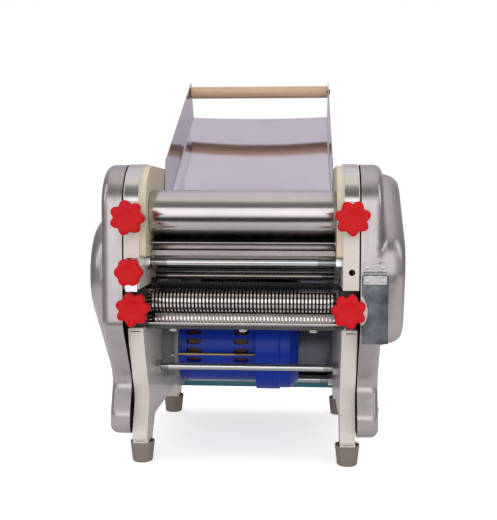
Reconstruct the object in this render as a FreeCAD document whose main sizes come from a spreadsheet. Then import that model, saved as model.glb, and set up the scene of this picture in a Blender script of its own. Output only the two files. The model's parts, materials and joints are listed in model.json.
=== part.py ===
import FreeCAD, Part
import math
import os

import Sketcher
from FreeCAD import Placement, Rotation, Vector

# Tabletop dough sheeter with a noodle cutter cartridge.
#
# Machine frame used by every function below: X = 0 on the mid-plane between the two side
# frames, Y = 0 on the front faces of the side frames with +Y to the back, Z = 0 on the floor.
# Each sub-part's Placement moves it from there into the part's own frame, whose origin lies
# under the middle of the whole machine.

doc = FreeCAD.newDocument("DoughSheeter")
sheet = doc.addObject("Spreadsheet::Sheet", "Sizes")

DIMENSIONS = [
    ("origin_x", -3, "part's origin in the machine frame"),
    ("origin_y", 216.3, "part's origin in the machine frame"),
    # side frames: pressed pans with an outward flange
    ("web_inner", 128, "mid-plane to a side frame's inner face"),
    ("plate", 2, "sheet thickness of the side frames"),
    ("frame_depth", 20, "depth of a side frame's flange"),
    ("head_top", 400, "top of the side frames"),
    ("head_radius", 55, "front top corner of the side frames"),
    ("back_radius", 190, "rounded back of the side frames"),
    ("body_length", 370, "front to back of the side frames"),
    ("leg_bottom", 28, "underside of the legs"),
    ("web_bottom", 56, "underside of the web between the legs"),
    ("notch_bottom", 188, "lower edge of the cutter's notch"),
    ("notch_top", 241.5, "upper edge of the cutter's notch"),
    ("notch_depth", 97, "depth of the cutter's notch"),
    # feet
    ("foot_front", 69.5, "front feet, distance from the front face"),
    ("foot_rear", 348, "rear feet, distance from the front face"),
    ("foot_across", 138.5, "mid-plane to the middle of a foot"),
    ("foot_top_radius", 16.5, "rubber foot at its rim"),
    ("foot_bottom_radius", 13.5, "rubber foot on the floor"),
    # dough rollers
    ("roller_radius", 30, "both dough rollers"),
    ("roller_half", 119.6, "half of a roller's working length"),
    ("journal_radius", 10, "roller journals"),
    ("front_roller_y", 48, "front roller's axis"),
    ("front_roller_z", 337, "front roller's axis"),
    ("roller_gap", 0.5, "smallest gap between the rollers"),
    ("roller_slope", 49.6, "slope of the line between the roller axes"),
    ("gap_travel", 4, "how far the front roller can move away"),
    # gears, as module and teeth
    ("drive_module", 2, "drive gears"),
    ("main_teeth", 59, "gear on the rear roller"),
    ("pinion_teeth", 15, "pinion cut on the jackshaft"),
    ("cutter_pinion_teeth", 13, "jackshaft pinion that drives the cutter"),
    ("idler_teeth", 36, "idler between the jackshaft and the cutter"),
    ("cutter_teeth", 18, "gear on the upper cutter roller"),
    ("roller_module", 3, "gear pair that ties the two rollers together"),
    ("roller_teeth", 20, "gear pair that ties the two rollers together"),
    # belt drive
    ("motor_y", 210, "motor axis"),
    ("motor_z", 140, "motor axis"),
    ("large_pulley_radius", 75, "pulley on the jackshaft"),
    ("motor_pulley_radius", 20, "pulley on the motor"),
    ("shaft_radius", 8, "jackshaft"),
    ("motor_shaft_radius", 7, "motor shaft"),
    # covers
    ("cover_inner", 150, "mid-plane to the open edge of a cover"),
    ("cover_depth", 28, "depth of a cover's first step"),
    ("belt_step", 35, "extra depth over the belt"),
    ("gear_step", 29, "extra depth over the gears"),
    ("cover_wall", 1, "sheet thickness of the covers"),
    ("cover_rim", 11, "rounding of the covers' rims"),
    # cutter cartridge
    ("cutter_y", 58.2, "upper cutter roller's axis"),
    ("cutter_z", 221, "upper cutter roller's axis"),
    ("cutter_distance", 27, "between the two cutter axes"),
    ("cutter_slope", 68.6, "slope of the line between the cutter axes"),
    ("disc_radius", 15, "cutter discs"),
    ("groove_radius", 11.7, "bottom of the cutter grooves"),
    ("disc_pitch", 4.8, "one disc and one groove"),
    ("disc_width", 2.1, "one disc"),
    ("pair_module", 1.5, "gear pair between the cutter rollers"),
    ("pair_teeth", 18, "gear pair between the cutter rollers"),
    ("block_inner", 126.5, "mid-plane to the inner face of an end block"),
    ("block_outer", 144.5, "mid-plane to the outer face of an end block"),
    # knobs
    ("knob_across", 138, "mid-plane to the knob axes"),
    ("gap_knob_z", 332, "gap knobs"),
    ("cutter_knob_across", 135, "mid-plane to the cutter knobs' axes"),
    ("cutter_knob_z", 216.5, "cutter knobs"),
    ("latch_knob_z", 264, "latch knob"),
    # tray
    ("tray_slope", 28, "slope of the tray"),
    ("tray_half", 119.4, "half of the tray's width"),
    ("tray_wall", 1, "sheet thickness of the tray"),
    ("tray_side", 66, "height of the tray's sides"),
    ("tray_length", 397, "length of the tray's floor"),
    ("tray_front_y", 112, "lower end of the tray's floor"),
    ("tray_front_z", 314.6, "lower end of the tray's floor"),
    # running clearances
    ("running", 0.05, "radial clearance of a shaft in its bearing"),
    ("gear_backlash", 0.35, "thinning of each gear tooth"),
]

for row, (alias, value, note) in enumerate(DIMENSIONS, start=1):
    sheet.set(f"A{row}", note)
    sheet.set(f"B{row}", str(value))
    sheet.setAlias(f"B{row}", alias)
doc.recompute()


class Size:
    """A number read from the sheet, together with the expression that gives it."""

    def __init__(self, value, text):
        self.value = value
        self.text = text

    def __add__(self, other):
        return Size(self.value + number(other), f"({self.text} + {words(other)})")

    def __sub__(self, other):
        return Size(self.value - number(other), f"({self.text} - {words(other)})")

    def __mul__(self, other):
        return Size(self.value * number(other), f"({self.text} * {words(other)})")

    def __truediv__(self, other):
        return Size(self.value / number(other), f"({self.text} / {words(other)})")

    def __neg__(self):
        return Size(-self.value, f"(-1 * {self.text})")

    def __float__(self):
        return float(self.value)


def number(size):
    return size.value if isinstance(size, Size) else float(size)


def words(size):
    return size.text if isinstance(size, Size) else repr(float(size))


def cosine(angle):
    return Size(math.cos(math.radians(number(angle))), f"cos({words(angle)} * 1deg)")


def sine(angle):
    return Size(math.sin(math.radians(number(angle))), f"sin({words(angle)} * 1deg)")


class Dimensions:
    """Every alias of the sheet as an attribute."""

    def __getattr__(self, alias):
        return Size(float(sheet.get(alias)), f"Sizes.{alias}")


d = Dimensions()

# ---------------------------------------------------------------- places worked out from the sheet

FLANGE_OUTER = d.web_inner + d.frame_depth
REAR_ROLLER_Y = d.front_roller_y + (d.roller_radius * 2 + d.roller_gap) * cosine(d.roller_slope)
REAR_ROLLER_Z = d.front_roller_z - (d.roller_radius * 2 + d.roller_gap) * sine(d.roller_slope)
IDLER_Y = d.cutter_y + d.drive_module * (d.cutter_teeth + d.idler_teeth) / 2
IDLER_Z = d.cutter_z
LOWER_CUTTER_Y = d.cutter_y + d.cutter_distance * cosine(d.cutter_slope)
LOWER_CUTTER_Z = d.cutter_z - d.cutter_distance * sine(d.cutter_slope)


def jackshaft_axis():
    """Where the jackshaft's two pinions mesh with the main gear and with the idler."""
    to_main = number(d.drive_module * (d.main_teeth + d.pinion_teeth) / 2)
    to_idler = number(d.drive_module * (d.cutter_pinion_teeth + d.idler_teeth) / 2)
    main = Vector(0, number(REAR_ROLLER_Y), number(REAR_ROLLER_Z))
    across = Vector(0, number(IDLER_Y), number(IDLER_Z)) - main
    span = across.Length
    along = (to_main ** 2 - to_idler ** 2 + span ** 2) / (2 * span)
    aside = math.sqrt(to_main ** 2 - along ** 2)
    unit = across.normalize()
    return main + unit * along + Vector(0, -unit.z, unit.y) * aside


jackshaft = jackshaft_axis()
JACKSHAFT_Y = jackshaft.y
JACKSHAFT_Z = jackshaft.z

# ---------------------------------------------------------------- helpers

nodes = []


def place(item, y=0.0, z=0.0, label=None):
    """Bind a sub-part's Placement, an axis position in the machine frame, and keep it as a node."""
    item.Label = label or item.Name
    item.setExpression("Placement.Base.x", words(-d.origin_x))
    item.setExpression("Placement.Base.y", words(Size(number(y), words(y)) - d.origin_y))
    item.setExpression("Placement.Base.z", words(z))
    nodes.append(item)
    return item


def feature(name, shape):
    """A sub-part whose shape was made in the machine frame."""
    item = doc.addObject("Part::Feature", name)
    item.Label = name
    item.Shape = shape
    item.Placement = Placement(Vector(-number(d.origin_x), -number(d.origin_y), 0), Rotation())
    nodes.append(item)
    return item


def body_sketch(body, name, role):
    sketch = body.newObject("Sketcher::SketchObject", name)
    plane = [item for item in body.Origin.OriginFeatures if item.Role == role][0]
    sketch.AttachmentSupport = [(plane, "")]
    sketch.MapMode = "FlatFace"
    return sketch


def closed_profile(sketch, points):
    """A polygon whose every corner is held by two dimensions from the sheet."""
    count = len(points)
    corners = [Vector(number(a), number(b), 0) for a, b in points]
    for index in range(count):
        sketch.addGeometry(Part.LineSegment(corners[index], corners[(index + 1) % count]))
    for index in range(count):
        sketch.addConstraint(Sketcher.Constraint("Coincident", index, 2, (index + 1) % count, 1))
    for index, (a, b) in enumerate(points):
        for kind, size in (("DistanceX", a), ("DistanceY", b)):
            held = sketch.addConstraint(Sketcher.Constraint(kind, -1, 1, index, 1, number(size)))
            sketch.setExpression(f"Constraints[{held}]", words(size))


def turned(name, profile, y, z):
    """A body turned about X: profile is a list of (x, radius) corners, closed along the axis."""
    body = doc.addObject("PartDesign::Body", name)
    sketch = body_sketch(body, name + "_profile", "XY_Plane")
    closed_profile(sketch, profile)
    turn = body.newObject("PartDesign::Revolution", name + "_turned")
    turn.Profile = sketch
    turn.ReferenceAxis = (sketch, ["H_Axis"])
    turn.Angle = 360
    return place(body, y, z)


def rounded(points):
    """Edges of a closed outline in the Y-Z plane; each point is (y, z, corner radius)."""
    count = len(points)
    corners = []
    for index in range(count):
        y, z, radius = (number(value) for value in points[index])
        here = Vector(0, y, z)
        before = Vector(0, *(number(value) for value in points[index - 1][:2])) - here
        after = Vector(0, *(number(value) for value in points[(index + 1) % count][:2])) - here
        if radius == 0:
            corners.append((here, None, here))
            continue
        half = before.getAngle(after) / 2
        cut = radius / math.tan(half)
        middle = (before.normalize() + after.normalize()).normalize()
        tip = here + middle * (radius / math.sin(half) - radius)
        corners.append((here + before * cut, tip, here + after * cut))
    edges = []
    for index in range(count):
        start, tip, end = corners[index]
        if tip:
            edges.append(Part.Arc(start, tip, end).toShape())
        following = corners[(index + 1) % count][0]
        if end.distanceToPoint(following) > 1e-6:
            edges.append(Part.LineSegment(end, following).toShape())
    return edges


def slab(points, x_from, x_to):
    """An outline in the Y-Z plane, extruded along X."""
    face = Part.Face(Part.Wire(rounded(points)))
    face.translate(Vector(number(x_from), 0, 0))
    return face.extrude(Vector(number(x_to) - number(x_from), 0, 0))


def inset_slab(points, inset, x_from, x_to):
    """The same outline moved inwards by inset, extruded along X."""
    wire = Part.Wire(rounded(points)).makeOffset2D(-number(inset))
    face = Part.Face(wire)
    face.translate(Vector(number(x_from), 0, 0))
    return face.extrude(Vector(number(x_to) - number(x_from), 0, 0))


def rod(radius, x_from, x_to, y, z):
    start = min(number(x_from), number(x_to))
    length = abs(number(x_to) - number(x_from))
    return Part.makeCylinder(number(radius), length, Vector(start, number(y), number(z)), Vector(1, 0, 0))


def rod_y(radius, y_from, y_to, x, z):
    length = number(y_to) - number(y_from)
    return Part.makeCylinder(number(radius), length, Vector(number(x), number(y_from), number(z)), Vector(0, 1, 0))


def block(x_from, x_to, y_from, y_to, z_from, z_to):
    low = Vector(min(number(x_from), number(x_to)), number(y_from), number(z_from))
    size = (abs(number(x_to) - number(x_from)), number(y_to) - number(y_from), number(z_to) - number(z_from))
    return Part.makeBox(*size, low)


def long_hole(radius, x_from, x_to, y_from, y_to, z):
    """A slot with round ends that runs along Y."""
    ends = rod(radius, x_from, x_to, y_from, z).fuse(rod(radius, x_from, x_to, y_to, z))
    middle = block(x_from, x_to, y_from, y_to, number(z) - number(radius), number(z) + number(radius))
    return ends.fuse(middle).removeSplitter()


def mirrored(shape, side):
    """The shape itself on the right, side 1, and its mirror image on the left, side -1."""
    return shape if side > 0 else shape.mirror(Vector(), Vector(1, 0, 0))


def merged(shapes):
    whole = shapes[0]
    for shape in shapes[1:]:
        whole = whole.fuse(shape)
    return whole.removeSplitter()


def hexagon(across_flats, x_from, x_to, y, z):
    radius = number(across_flats) / math.sqrt(3)
    corners = []
    for step in range(7):
        angle = math.radians(60 * step)
        corners.append(Vector(number(x_from), number(y) + radius * math.cos(angle),
                              number(z) + radius * math.sin(angle)))
    face = Part.Face(Part.makePolygon(corners))
    return face.extrude(Vector(number(x_to) - number(x_from), 0, 0))


def gear(teeth, module, x_from, x_to, y, z, phase=0.0, addendum=0.8, dedendum=1.25, thin=None):
    """A spur gear about X with straight-flanked teeth; phase is the first tooth's angle."""
    teeth = int(number(teeth))
    module = number(module)
    pitch = module * teeth / 2
    thin = number(d.gear_backlash) if thin is None else thin
    half_pitch_tooth = math.pi * module / 4 - thin
    slope = math.tan(math.radians(20))
    corners = []
    for tooth in range(teeth):
        middle = phase + 2 * math.pi * tooth / teeth
        for rise, side in ((-dedendum, -1), (addendum, -1), (addendum, 1), (-dedendum, 1)):
            radius = pitch + rise * module
            half = (half_pitch_tooth - rise * module * slope) / radius
            angle = middle + side * half
            corners.append(Vector(number(x_from), number(y) + radius * math.cos(angle),
                                  number(z) + radius * math.sin(angle)))
    corners.append(corners[0])
    face = Part.Face(Part.makePolygon(corners))
    return face.extrude(Vector(number(x_to) - number(x_from), 0, 0))


def mesh_phase(teeth, y, z, other_y, other_z, tooth):
    """Angle of the first tooth, so that a tooth (True) or a gap (False) points at the other axis."""
    towards = math.atan2(number(other_z) - number(z), number(other_y) - number(y))
    return towards if tooth else towards + math.pi / int(number(teeth))


# ---------------------------------------------------------------- side frames and feet

LEG_TIP = 17     # half of the tab under a leg, along Y
LEG_HALF = 23    # half of a leg's width, along Y

FRAME_OUTLINE = [
    (d.foot_front - LEG_TIP, d.leg_bottom, 0),
    (d.foot_front - LEG_HALF, d.leg_bottom + 8, 0),
    (d.foot_front - LEG_HALF, 45, 20),
    (66, 88, 30),
    (28, 168, 30),
    (24, d.notch_bottom, 0),
    (0, d.notch_top, 0),
]
FRAME_OUTLINE = FRAME_OUTLINE[::-1]
FRAME_OUTLINE = [
    (0, d.head_top, d.head_radius),
    *FRAME_OUTLINE,
    (d.foot_front + LEG_TIP, d.leg_bottom, 0),
    (d.foot_front + LEG_HALF, d.leg_bottom + 8, 4),
    (108, d.web_bottom, 8),
    (308, d.web_bottom, 8),
    (d.foot_rear - LEG_HALF, d.leg_bottom + 8, 4),
    (d.foot_rear - LEG_TIP, d.leg_bottom, 0),
    (d.foot_rear + LEG_TIP, d.leg_bottom, 0),
    (d.body_length, d.leg_bottom + 8, 0),
    (d.body_length, d.head_top, d.back_radius),
]

TIE_RODS = [(40, 273.3, 5), (84, 252, 5), (118, 121, 5), (345, 57, 5)]   # y, z, radius
IDLER_AXLE_RADIUS = 5
BUSH_WALL = 6


def leg_tab(foot_y):
    """The sheet's end under a leg, bent outwards over the foot's rim."""
    tab = block(d.web_inner, FLANGE_OUTER + 1, number(foot_y) - LEG_TIP, number(foot_y) + LEG_TIP,
                d.leg_bottom, d.leg_bottom + d.plate)
    corners = [edge for edge in tab.Edges
               if abs(edge.Vertexes[0].Z - edge.Vertexes[1].Z) > 1 and edge.Vertexes[0].X > 140]
    return tab.makeFillet(5, corners)


def side_frame(name, side):
    web_outer = d.web_inner + d.plate
    pan = slab(FRAME_OUTLINE, d.web_inner, FLANGE_OUTER)
    pan = pan.cut(inset_slab(FRAME_OUTLINE, d.plate, web_outer, FLANGE_OUTER + 5))
    pan = pan.cut(block(d.web_inner - 5, FLANGE_OUTER + 5, -5, d.notch_depth, d.notch_bottom, d.notch_top))
    lip = block(d.web_inner, FLANGE_OUTER, 24, 34, d.notch_bottom - d.plate, d.notch_bottom)
    pan = pan.fuse([lip, leg_tab(d.foot_front), leg_tab(d.foot_rear)]).removeSplitter()
    inside = number(d.web_inner) - 2
    holes = [
        long_hole(d.journal_radius + 1, inside, web_outer + 1,
                  d.front_roller_y - d.gap_travel, d.front_roller_y, d.front_roller_z),
        rod(d.journal_radius + BUSH_WALL, inside, web_outer + 1, REAR_ROLLER_Y, REAR_ROLLER_Z),
        rod(d.shaft_radius + BUSH_WALL, inside, web_outer + 1, JACKSHAFT_Y, JACKSHAFT_Z),
        rod_y(4.5, -1, 5, d.knob_across, d.gap_knob_z),
        rod_y(4, -1, 5, number(d.knob_across) + (1 if side > 0 else 0), d.latch_knob_z),
    ]
    holes += [rod(radius, inside, web_outer + 1, y, z) for y, z, radius in TIE_RODS]
    if side > 0:
        holes.append(rod(IDLER_AXLE_RADIUS, inside, web_outer + 1, IDLER_Y, IDLER_Z))
    else:
        holes.append(rod(d.motor_shaft_radius + 3, inside, web_outer + 1, d.motor_y, d.motor_z))
        holes += [block(inside, web_outer + 1, 172, 179, z, z + 1.5) for z in (62, 67)]
    holes.append(block(132, 145, 20, 30, 183, 184.2))
    holes.append(block(132, 145, 40, 56, 31, 32.2))
    for hole in holes:
        pan = pan.cut(hole)
    return feature(name, mirrored(pan, side))


def head_bands():
    """Polished strips laid over both side frames' heads."""
    strips = []
    band = slab(FRAME_OUTLINE, d.web_inner + 1, FLANGE_OUTER - 1)
    outer = inset_slab(FRAME_OUTLINE, -0.8, d.web_inner + 1, FLANGE_OUTER - 1)
    strip = outer.cut(band).common(block(100, 160, -5, 330, 352, 410))
    for side in (1, -1):
        strips.append(mirrored(strip, side))
    return feature("head_bands", Part.makeCompound(strips))


def rubber_feet():
    """Tapered rubber cups, open at the top, one under each leg."""
    rim = number(d.foot_top_radius)
    tread = number(d.foot_bottom_radius)
    height = number(d.leg_bottom)
    corners = [(0, 0), (tread - 2, 0), (tread, 2), (rim, height), (rim - 2.5, height),
               (rim - 3, height - 5), (0, height - 5), (0, 0)]
    outline = Part.Face(Part.makePolygon([Vector(radius, 0, z) for radius, z in corners]))
    cup = outline.revolve(Vector(), Vector(0, 0, 1), 360)
    feet = []
    for side in (1, -1):
        for y in (d.foot_front, d.foot_rear):
            foot = cup.copy()
            foot.translate(Vector(side * number(d.foot_across), number(y), 0))
            feet.append(foot)
    return feature("rubber_feet", Part.makeCompound(feet))


side_frame("left_side_frame", -1)
side_frame("right_side_frame", 1)
head_bands()
rubber_feet()

# ---------------------------------------------------------------- tie rods and their nuts

ROD_END = 9   # how far a tie rod stands out of each web


def tie_rods():
    reach = number(d.web_inner + d.plate) + ROD_END
    return feature("tie_rods", Part.makeCompound([rod(radius, -reach, reach, y, z) for y, z, radius in TIE_RODS]))


def tie_rod_nuts():
    nuts = []
    for y, z, radius in TIE_RODS:
        across = 17
        thick = 8
        for side in (1, -1):
            for start, end in ((number(d.web_inner) - thick, number(d.web_inner)),
                               (number(d.web_inner + d.plate), number(d.web_inner + d.plate) + thick)):
                nut = hexagon(across, start, end, y, z).cut(rod(radius, start - 1, end + 1, y, z))
                nuts.append(mirrored(nut, side))
    return feature("tie_rod_nuts", Part.makeCompound(nuts))


tie_rods()
tie_rod_nuts()

# ---------------------------------------------------------------- roller guards, scrapers, rear panel


SCRAPER_PIN_RADIUS = 2
SCRAPER_PINS = [(27, 298.6), (48, 285)]   # y, z of the pins that hold the two scrapers


def roller_guards():
    """Thick plastic cheeks between the rollers' ends and the side frames."""
    outline = [(2, 282, 4), (56, 282, 4), (66, 266, 6), (128, 266, 15), (185, 330, 10),
               (185, 398.5, 4), (2, 398.5, 53)][::-1]
    plate = slab(outline, d.roller_half + 0.4, d.web_inner)
    inside = number(d.roller_half) - 1
    outside = number(d.web_inner) + 1
    plate = plate.cut(long_hole(d.journal_radius + 1, inside, outside, d.front_roller_y - d.gap_travel,
                                d.front_roller_y, d.front_roller_z))
    plate = plate.cut(rod(d.journal_radius + 1, inside, outside, REAR_ROLLER_Y, REAR_ROLLER_Z))
    for y, z in SCRAPER_PINS:
        plate = plate.cut(rod(SCRAPER_PIN_RADIUS, inside, outside, y, z))
    return feature("roller_guards", Part.makeCompound([mirrored(plate, 1), mirrored(plate, -1)]))


def thin_plate(points, half_width):
    """A polygon in the Y-Z plane, given as (y, z) corners, extruded across the machine."""
    return slab([(y, z, 0) for y, z in points], -number(half_width), half_width)


def scrapers():
    """Two blades, nearly edge-on to the front, that rest just off the rollers."""
    half = number(d.web_inner) - 0.3
    front = thin_plate([(56.2, 305.6), (55.0, 306.4), (30, 299.8), (30, 298.4)], 118)
    rear = thin_plate([(58.2, 280.6), (57.6, 281.8), (41.2, 283.2), (41.2, 288.5), (40, 288.5), (40, 282)], 118)
    ears = []
    for side in (1, -1):
        ears.append((mirrored(block(118, 119.4, 24, 44, 296, 301.4), side),
                     mirrored(block(118, 119.4, 34, 56, 282.2, 287.5), side)))
    front = merged([front] + [pair[0] for pair in ears])
    rear = merged([rear] + [pair[1] for pair in ears])
    front_pin, rear_pin = (rod(SCRAPER_PIN_RADIUS, 119.4, half, y, z) for y, z in SCRAPER_PINS)
    front = front.fuse([front_pin, mirrored(front_pin, -1)])
    rear = rear.fuse([rear_pin, mirrored(rear_pin, -1)])
    return front, rear


def rear_panel():
    """Bent sheet behind the machine: upright, then following the rounded backs of the frames."""
    centre_y = number(d.body_length - d.back_radius)
    centre_z = number(d.head_top - d.back_radius)
    outer = number(d.back_radius) - 2.5
    width = 2 * number(d.web_inner)
    left = -number(d.web_inner)
    top = 56
    bottom = 39

    def point(radius, angle):
        turn = math.radians(angle)
        return Vector(left, centre_y + radius * math.cos(turn), centre_z + radius * math.sin(turn))

    inner = outer - 1
    edges = [
        Part.LineSegment(Vector(left, centre_y + inner, bottom), Vector(left, centre_y + outer, bottom)).toShape(),
        Part.LineSegment(Vector(left, centre_y + outer, bottom), point(outer, 0)).toShape(),
        Part.Arc(point(outer, 0), point(outer, top / 2), point(outer, top)).toShape(),
        Part.LineSegment(point(outer, top), point(inner, top)).toShape(),
        Part.Arc(point(inner, top), point(inner, top / 2), point(inner, 0)).toShape(),
        Part.LineSegment(point(inner, 0), Vector(left, centre_y + inner, bottom)).toShape(),
    ]
    sheet_metal = Part.Face(Part.Wire(edges)).extrude(Vector(width, 0, 0))
    back = centre_y + outer
    sheet_metal = sheet_metal.cut(block(SWITCH_X - 13, SWITCH_X + 13, back - 5, back + 5, SWITCH_Z - 9.5, SWITCH_Z + 9.5))
    sheet_metal = sheet_metal.cut(rod_y(5, back - 5, back + 5, SWITCH_X, GLAND_Z))
    return sheet_metal


SWITCH_X = -80
SWITCH_Z = 105
GLAND_Z = 70
PANEL_BACK = number(d.body_length) - 2.5

roller_guards()
front_blade, rear_blade = scrapers()
feature("front_scraper", front_blade)
feature("rear_scraper", rear_blade)
feature("rear_panel", rear_panel())
feature("protective_film", block(-126, 126, PANEL_BACK - 1.3, PANEL_BACK - 1, 39, 47))

# ---------------------------------------------------------------- switch and cable gland on the rear panel


def switch_housing():
    """Rocker switch body: a bezel outside the panel and a box inside it."""
    bezel = block(SWITCH_X - 15, SWITCH_X + 15, PANEL_BACK, PANEL_BACK + 2, SWITCH_Z - 11.5, SWITCH_Z + 11.5)
    box = block(SWITCH_X - 13, SWITCH_X + 13, PANEL_BACK - 16, PANEL_BACK, SWITCH_Z - 9.5, SWITCH_Z + 9.5)
    window = block(SWITCH_X - 11.5, SWITCH_X + 11.5, PANEL_BACK - 14, PANEL_BACK + 3, SWITCH_Z - 8.4, SWITCH_Z + 8.4)
    pivot = rod(1.5 + number(d.running), SWITCH_X - 14, SWITCH_X + 14, PANEL_BACK - 7, SWITCH_Z)
    return bezel.fuse(box).removeSplitter().cut(window).cut(pivot)


def switch_rocker():
    axis_y = PANEL_BACK - 7
    corners = [(-3, -3), (8.6, -6.3), (11.4, -6.0), (9.4, 0), (11.4, 6.0), (8.6, 6.3), (-3, 3)]
    outline = [(axis_y + y, SWITCH_Z + z, 0) for y, z in corners]
    pivot = rod(1.5, SWITCH_X - 12.8, SWITCH_X + 12.8, axis_y, SWITCH_Z)
    return merged([slab(outline, SWITCH_X - 11, SWITCH_X + 11), pivot])


def cable_gland():
    flange = rod_y(8, PANEL_BACK, PANEL_BACK + 3, SWITCH_X, GLAND_Z)
    neck = rod_y(5, PANEL_BACK - 8, PANEL_BACK, SWITCH_X, GLAND_Z)
    nose = Part.makeCone(6.5, 5, 9, Vector(SWITCH_X, PANEL_BACK + 3, GLAND_Z), Vector(0, 1, 0))
    bore = rod_y(3.2, PANEL_BACK - 9, PANEL_BACK + 13, SWITCH_X, GLAND_Z)
    return merged([flange, neck, nose]).cut(bore)


feature("switch_housing", switch_housing())
feature("switch_rocker", switch_rocker())
feature("cable_gland", cable_gland())

# ---------------------------------------------------------------- outer covers

COVER_OUTLINE = [
    (0, d.head_top, d.head_radius),
    (0, 192, 26),
    (56, 113, 22),
    (40, 70, 20),
    (40, 42, 13.5),
    (97, 42, 13.5),
    (111, 66, 14),
    (300, 66, 14),
    (316, 42, 13.5),
    (d.body_length, 42, 13.5),
    (d.body_length, d.head_top, d.back_radius),
]
BELT_BASE = 8      # how far the belt bulge stands clear of the large pulley
GEAR_OUTLINE = [(104, 391, 62), (5, 300, 50), (3, 262, 40), (27, 166, 34), (300, 166, 60), (356, 250, 40),
                (356, 391, 120)]
VALLEY = 0.6


def teardrop(radius_a, ya, za, radius_b, yb, zb, x_from, x_to):
    """Two discs and the belt-like outline round them."""
    radius_a, radius_b = number(radius_a), number(radius_b)
    a = Vector(0, number(ya), number(za))
    b = Vector(0, number(yb), number(zb))
    line = b - a
    heading = math.atan2(line.z, line.y)
    lean = math.acos((radius_a - radius_b) / line.Length)

    def at(centre, radius, angle):
        return centre + Vector(0, radius * math.cos(angle), radius * math.sin(angle))

    first, second = heading + lean, heading - lean
    edges = [
        Part.Arc(at(a, radius_a, first), at(a, radius_a, heading + math.pi), at(a, radius_a, second)).toShape(),
        Part.LineSegment(at(a, radius_a, second), at(b, radius_b, second)).toShape(),
        Part.Arc(at(b, radius_b, second), at(b, radius_b, heading), at(b, radius_b, first)).toShape(),
        Part.LineSegment(at(b, radius_b, first), at(a, radius_a, first)).toShape(),
    ]
    face = Part.Face(Part.Wire(edges))
    face.translate(Vector(number(x_from), 0, 0))
    return face.extrude(Vector(number(x_to) - number(x_from), 0, 0))


def soften(solid, x, radius):
    """Round every edge of the solid's face at x."""
    rim = [edge for edge in solid.Edges if all(abs(vertex.X - x) < 1e-4 for vertex in edge.Vertexes)]
    return solid.makeFillet(number(radius), rim)


def first_step(inset, floor_x):
    start = number(d.cover_inner) - (1 if inset else 0)
    solid = inset_slab(COVER_OUTLINE, inset, start, floor_x) if inset else slab(COVER_OUTLINE, start, floor_x)
    return soften(solid, floor_x, number(d.cover_rim) - inset)


def belt_bulge(inset, top_x):
    start = number(d.cover_inner + d.cover_depth) - 3
    big = number(d.large_pulley_radius) + BELT_BASE - inset
    small = number(d.motor_pulley_radius) + BELT_BASE + 20 - inset
    solid = teardrop(big, JACKSHAFT_Y, JACKSHAFT_Z, small, d.motor_y, d.motor_z, start, top_x)
    return soften(solid, top_x, 20 - inset)


def gear_bulge(inset, top_x):
    start = number(d.cover_inner + d.cover_depth) - 12
    solid = inset_slab(GEAR_OUTLINE, inset, start, top_x) if inset else slab(GEAR_OUTLINE, start, top_x)
    return soften(solid, top_x, 14 - inset)


def cover(name, side, bulge, step):
    """Deep-drawn shell: first step, then a bulge over the belt or over the gears."""
    wall = number(d.cover_wall)
    floor_x = number(d.cover_inner + d.cover_depth)
    top_x = floor_x + number(step)
    outer = first_step(0, floor_x).fuse(bulge(0, top_x))
    inner = first_step(wall, floor_x - wall).fuse(bulge(wall, top_x - wall))
    shell = outer.cut(inner)
    if side > 0:
        shell = shell.cut(block(153, 175, -5, 8, 182, 256))
    return feature(name, mirrored(shell.removeSplitter(), side))


cover("left_cover", -1, belt_bulge, d.belt_step)
cover("right_cover", 1, gear_bulge, d.gear_step)


def cover_screws():
    """Pan heads on the covers, and the two that hold the flap hinge's upper leaf."""
    screws = []
    for y, z in ((60, 372), (300, 330), (345, 120), (70, 75)):
        for side in (1, -1):
            face_x = number(d.cover_inner + d.cover_depth)
            head = rod(4, face_x, face_x + 2.2, y, z)
            screws.append(mirrored(head.makeFillet(1.5, [head.Edges[0]] if head.Edges[0].BoundBox.XMin > face_x + 1
                                                   else [head.Edges[2]]), side))
    for x in (HINGE_SCREWS):
        screws.append(rod_y(2.6, LEAF_FACE - 1.4, LEAF_FACE, x, LEAF_TOP - 6))
    return feature("cover_screws", Part.makeCompound(screws))


# ---------------------------------------------------------------- flap over the gear opening, with its hinge

PIN_Y = -3.0
PIN_Z = 263.2
PIN_RADIUS = 1.2
KNUCKLE = 2.3
LEAF_FROM = 153
LEAF_TO = 182
LEAF_TOP = 277
LEAF_FACE = -1.2
HINGE_SCREWS = (158, 177)
KNUCKLES = 5


def knuckle(index):
    """One barrel of the hinge: even ones belong to the upper leaf, odd ones to the lower."""
    width = (LEAF_TO - LEAF_FROM) / KNUCKLES
    start = LEAF_FROM + index * width
    barrel = rod(KNUCKLE, start + 0.2, start + width - 0.2, PIN_Y, PIN_Z)
    return barrel, start + 0.2, start + width - 0.2


def upper_leaf():
    """Butterfly-edged leaf screwed to the cover."""
    leaf = block(LEAF_FROM, LEAF_TO, LEAF_FACE, 0, PIN_Z + KNUCKLE + 0.4, LEAF_TOP)
    middle = (LEAF_FROM + LEAF_TO) / 2
    for x in (LEAF_FROM + 9.5, middle, LEAF_TO - 9.5):
        leaf = leaf.cut(rod_y(2.6, LEAF_FACE - 1, 1, x, LEAF_TOP + 0.6))
    parts = [leaf]
    for index in range(0, KNUCKLES, 2):
        barrel, start, end = knuckle(index)
        parts += [barrel, block(start, end, LEAF_FACE, 0, PIN_Z, PIN_Z + KNUCKLE + 0.5),
                  block(start, end, PIN_Y, 0, PIN_Z + KNUCKLE - 1.2, PIN_Z + KNUCKLE)]
    bore = rod(PIN_RADIUS, LEAF_FROM - 1, LEAF_TO + 1, PIN_Y, PIN_Z)
    return merged(parts).cut(bore)


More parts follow.
